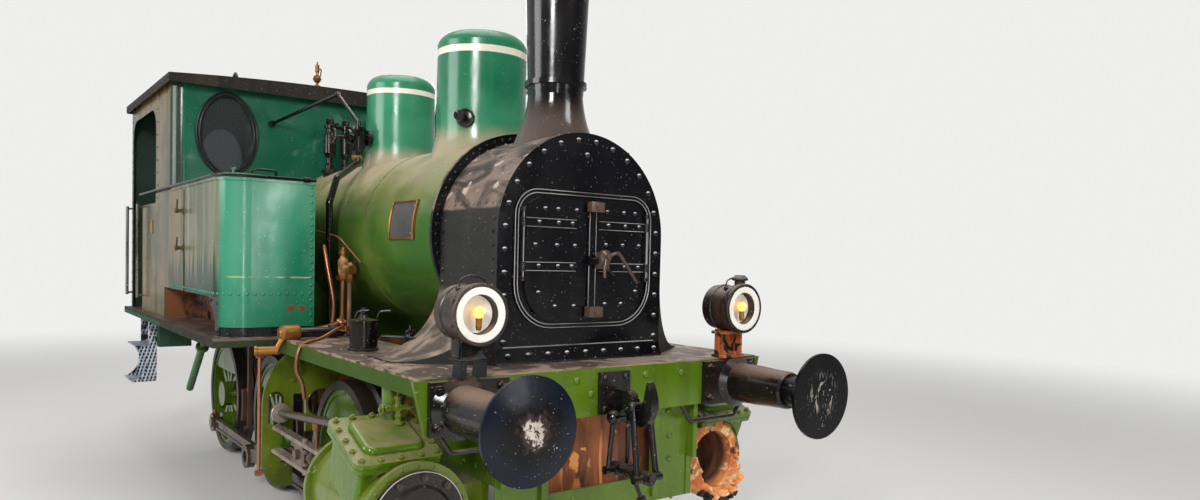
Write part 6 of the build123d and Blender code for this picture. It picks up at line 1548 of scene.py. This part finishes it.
def torn_iron(name):
    """Scaly rust in three tones, green paint where it is sound, oily brown in the bore."""
    made = Finish(name)
    patch = made.cloud(5.0, 8, 0.4, 0.62, distortion=1.2)
    rust = made.mix(patch, (240, 162, 98), (208, 122, 68))
    rust = made.mix(made.cloud(16.0, 7, 0.52, 0.64, distortion=0.8), rust, (252, 206, 156))
    rust = made.mix(made.cloud(11.0, 6, 0.62, 0.7), rust, (96, 54, 36))
    across = made.math("SUBTRACT", made.x, CYLINDER["x"])
    high = made.math("SUBTRACT", made.z, CYLINDER["z"])
    away = made.math("SQRT", made.plus(made.times(across, across), made.times(high, high)))
    outside = made.between(away, 0.205, 0.232)
    back = made.between(made.plus(made.y, made.times(made.noise(6.0, 6), 0.35)), -2.34, -2.28)
    green = made.mix(made.cloud(3.0, 5, 0.4, 0.6), (80, 104, 24), (60, 84, 20))
    tone = made.mix(made.times(outside, back), rust, green)
    bore = made.times(made.between(away, 0.17, 0.164), made.between(made.y, -2.46, -2.4))
    tone = made.mix(bore, tone, made.mix(made.cloud(4.0, 5, 0.4, 0.6, stretch=(1, 5, 1)), (120, 80, 60),
                                         (74, 48, 38)))
    rough = made.node("Mix", {"Factor": made.times(outside, back), "A": 0.85, "B": 0.2}).outputs[0]
    scale = made.plus(made.times(made.noise(26.0, 8, distortion=0.6), 0.9), made.times(patch, 0.5))
    return made.surface(tone, rough, scale, 0.008)


torn = torn_iron("torn iron")
paint(torn, "cylinder_left")
lumps = bmesh.new()
torn_edge = [(0.19, 196, -2.545, 0.06), (0.204, 214, -2.56, 0.052), (0.196, 236, -2.575, 0.07),
             (0.21, 255, -2.585, 0.055), (0.192, 275, -2.59, 0.064), (0.208, 296, -2.58, 0.058),
             (0.198, 318, -2.565, 0.066), (0.206, 338, -2.52, 0.05), (0.192, 2, -2.5, 0.058),
             (0.2, 28, -2.492, 0.046), (0.196, 150, -2.5, 0.052), (0.204, 172, -2.52, 0.06)]
for number, (radius, degrees, y, size) in enumerate(torn_edge):
    a = radians(degrees)
    centre = Vector((CYLINDER["x"] + radius * cos(a), y + 0.045, CYLINDER["z"] + radius * sin(a)))
    first = len(lumps.verts)
    bmesh.ops.create_icosphere(lumps, subdivisions=2, radius=1.0)
    lumps.verts.ensure_lookup_table()
    out = Vector((cos(a), 0, sin(a)))
    tangent = Vector((-sin(a), 0, cos(a)))
    for vertex in lumps.verts[first:]:
        p = vertex.co.copy()
        wobble = 1 + 0.24 * sin(7 * p.x + 3 * number) + 0.2 * sin(9 * p.y + 5 * p.z + 2 * number)
        vertex.co = centre + (out * p.x * 0.032 + FORWARD * p.y * size + tangent * p.z * size * 0.72) * wobble
finished("torn_edge", lumps, torn, smooth=25)
SHARD_Y, NUT_RING = -2.572, 0.232
shard, shard_nuts = bmesh.new(), []
arc = [radians(d) for d in range(226, 305, 6)]
ragged = [0.262 - 0.01 * (k % 3) for k in range(len(arc))]
outline = [(CYLINDER["x"] + r * cos(a), SHARD_Y, CYLINDER["z"] + r * sin(a)) for r, a in zip(ragged, arc)]
inside = [0.196 + 0.012 * (k % 2) for k in range(len(arc))]
outline += [(CYLINDER["x"] + r * cos(a), SHARD_Y, CYLINDER["z"] + r * sin(a))
            for r, a in zip(inside, reversed(arc))]
slab(shard, outline, (0, 0.034, 0))
for a in (radians(d) for d in (238, 262, 288)):
    place = Vector((CYLINDER["x"] + NUT_RING * cos(a), SHARD_Y, CYLINDER["z"] + NUT_RING * sin(a)))
    shard_nuts.append((place, FORWARD))
finished("cover_remnant", shard, cover_black, smooth=20)
heads("cover_remnant_nuts", stud_brown, "worked_steel", points=shard_nuts, size=(0.017, 0.017),
      tree=nut_tree, seed=9)

# Motion plates and valve gear
# Pear-shaped plates in the casting green, with forged links in oily brown steel behind them.
# The flanges, pins and the copper levers of the drain cocks were fitted by hand, and drip oil.
paint(casting_green, "motion_plates")
oily_steel = old_paint("oily steel", (56, 43, 35), (104, 84, 70), dust=0.1, streaks=0.6,
                       streak_colour=(36, 26, 21), chips=0.7, chip_colour=(196, 172, 150), gloss=0.13,
                       Metallic=0.5, specks=0.3)
bright_steel = old_paint("wiped steel", (186, 178, 168), (136, 122, 110), dust=0.1, streaks=0.5,
                         streak_colour=(66, 52, 44), gloss=0.18, Metallic=0.35)
LEVER_X, LEVER_Y, LINK_Y = 1.13, -0.6, -0.622
gear, gear_bright, levers = bmesh.new(), bmesh.new(), bmesh.new()
for side in (-1, 1):
    x = side * 1.035
    turns = [2 * pi * k / 32 for k in range(32)]
    slot = [(x + 0.04 * cos(a), LINK_Y, 0.744 + (0.071 if sin(a) > 0 else -0.071) + 0.04 * sin(a))
            for a in turns]
    tube(gear, slot, 0.006, 8, closed=True)
    rim = [(side * 0.752 + 0.084 * cos(a), LINK_Y, 0.77 + 0.084 * sin(a)) for a in turns]
    tube(gear, rim, 0.006, 8, closed=True)
    rod_end = Vector((x, -2.06, 0.876))
    valve_way = (Vector((x, -0.5, 0.72)) - rod_end).normalized()
    lathe(gear_bright, [(0, -0.012), (0.058, -0.012), (0.062, -0.006), (0.062, 0.006), (0.058, 0.012),
                        (0, 0.012)], rod_end + valve_way * 1.33, valve_way, 24)
    disc(gear, 0.034, -0.03, 0.03, rod_end + valve_way * 1.39, valve_way, 6)
    for dz in (0.086, -0.086):
        disc(gear_bright, 0.015, -0.02, 0.02, (x, -1.2, CYLINDER["z"] + dz), (0, 0, 1), 8)
    tube(levers, [(side * LEVER_X, LEVER_Y, z) for z in (0.33, 1.13)], 0.011, 8)
    for z, inner_end in ((0.35, 1.02), (1.1, 1.06)):
        disc(levers, 0.02, -0.02, 0.02, (side * LEVER_X, LEVER_Y, z), (1, 0, 0), 12)
        tube(levers, [(side * across, LEVER_Y, z) for across in (inner_end, 1.15)], 0.012, 8)
    lathe(levers, [(0, 0), (0.012, 0), (0.009, 0.03), (0.009, 0.095), (0.022, 0.1), (0.025, 0.112),
                   (0.025, 0.16), (0.018, 0.172), (0, 0.176)], (side * 1.03, -1.38, 0.648), UP, 14)
finished("valve_gear_parts", gear, oily_steel)
finished("valve_gear_flanges", gear_bright, bright_steel)
finished("cock_levers", levers, copper)
BOLTS = ((0.7, 0.93), (0.7, 1.05), (0.84, 1.07), (0.93, 0.93), (1.075, 0.47), (1.07, 0.65), (0.95, 0.35),
         (1.02, 0.34))
plate_bolts = [(Vector((side * x, -0.62, z)), FORWARD) for side in (-1, 1) for x, z in BOLTS]
heads("motion_plate_bolts", casting_green, "olive_green", points=plate_bolts, size=(0.014, 0.012),
      tree=nut_tree, seed=15)

# Crossheads, slide bars and rods
# Forged and machined steel, bright where it slides and brown with oil elsewhere, with brass-bushed eyes.
# Brass oil cups sit on the coupling rods and ride with them; a bright gland with nuts faces each cylinder.
paint(bright_steel, "slide_bars")
paint(oily_steel, "crossheads", "connecting_rods", "coupling_rod_left", "coupling_rod_right")
PINS = {
    # side: sign, crank pin height and how far each pin lies from its axle
    "right": (-1, 0.268, 0.0),
    "left": (1, 0.508, -0.24),
}
AXLE_Y = {"front": -1.18, "middle": 0.23, "rear": 1.63}
for name, (side, pin_z, shift) in PINS.items():
    eyes = bmesh.new()
    for y in AXLE_Y.values():
        lathe(eyes, [(0, 0), (0.016, 0), (0.016, 0.02), (0.011, 0.026), (0.011, 0.036), (0, 0.038)],
              (side * 0.885, y + shift, pin_z + 0.075), UP, 12)
    finished("rod_oil_cups_" + name, eyes, brass, body="coupling_rod_" + name)
glands, gland_nuts = bmesh.new(), []
for side in (-1, 1):
    face = landing("crossheads", (side * 1.014, -1.9, CYLINDER["z"] + 0.036), (0, 1, 0))
    gland = Vector((side * CYLINDER["x"], face.y, CYLINDER["z"]))
    lathe(glands, [(0.026, 0), (0.04, 0), (0.046, 0.006), (0.046, 0.016), (0.026, 0.016)], gland, FORWARD,
          28)
    gland_nuts += [(Vector((side * x, face.y, z)), FORWARD) for x, z in ((1.05, 0.6), (1.05, 0.526))]
finished("crosshead_glands", glands, bright_steel)
heads("crosshead_nuts", bright_steel, "worked_steel", points=gland_nuts, size=(0.012, 0.012), tree=nut_tree,
      seed=21)

# Wheels and tyres
# Cast spoked centres in glossy green with steel tyres shrunk on and screwed, their rims blackened.
# Dark oil lies in patches on spokes and rims, and brown metal shows where the paint has chipped.
WHEEL_Z, TYRE_FACE, SCREW_RING = 0.508, 0.8155, 0.402


def wheel_oil(made, tone):
    """Dark patches of oil on the spokes and rims."""
    return made.mix(made.cloud(6.0, 6, 0.52, 0.7, 0, 0.55, distortion=0.5), tone, (42, 44, 22))


wheel_green = old_paint("wheel green", (52, 80, 12), (70, 96, 20), dust=0.1, streaks=0.2,
                        streak_colour=(40, 40, 22), chips=0.5, chip_colour=(120, 74, 44), gloss=0.1,
                        specks=0.4, extra=wheel_oil)
tyre_black = old_paint("tyre black", (16, 14, 13), (38, 31, 27), dust=0.15, streaks=0.3,
                       streak_colour=(78, 54, 40), chips=0.8, chip_colour=(112, 70, 44), gloss=0.3,
                       specks=0.3, Metallic=0.3)
paint(wheel_green, "wheels_front", "wheels_middle", "wheels_rear")
paint(tyre_black, "tyres_front", "tyres_middle", "tyres_rear")
for axle, y in AXLE_Y.items():
    screws = []
    for side in (-1, 1):
        way = Vector((side, 0, 0))
        for k in range(6):
            a = 2 * pi * (k + 0.5) / 6
            place = Vector((side * TYRE_FACE, y + SCREW_RING * cos(a), WHEEL_Z + SCREW_RING * sin(a)))
            screws.append((place, way))
    heads("tyre_screws_" + axle, wheel_green, "olive_green", points=screws, size=(0.01, 0.005),
          body="wheels_" + axle)

# Springs, axleboxes, brakes and ash pan
# Black leaf springs over green boxes between the frames; brake hangers with worn blocks, oily and rust brown.
# The ash pan under the firebox is bare rusty plate with dust on every ledge.
under_iron = old_paint("underside iron", (44, 32, 27), (84, 60, 46), dust=0.45, dust_colour=(126, 104, 86),
                       streaks=0.5, streak_colour=(104, 62, 38), chips=0.6, chip_colour=(140, 84, 50),
                       gloss=0.45, specks=0.3)
paint(frame_green, "axleboxes")
paint(iron_black, "springs")
paint(under_iron, "brakes", "ashpan")
HANGER_X = 0.778
joints = bmesh.new()
for y in (-0.334, 1.066):
    for side in (-1, 1):
        for z in (1.048, 0.303):
            disc(joints, 0.02, -0.012, 0.012, (side * HANGER_X, y, z), (1, 0, 0), 6)
finished("brake_pin_nuts", joints, under_iron)

size = {"cad": [list(c) for c in cad_box], "visual": [list(c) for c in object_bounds()]}
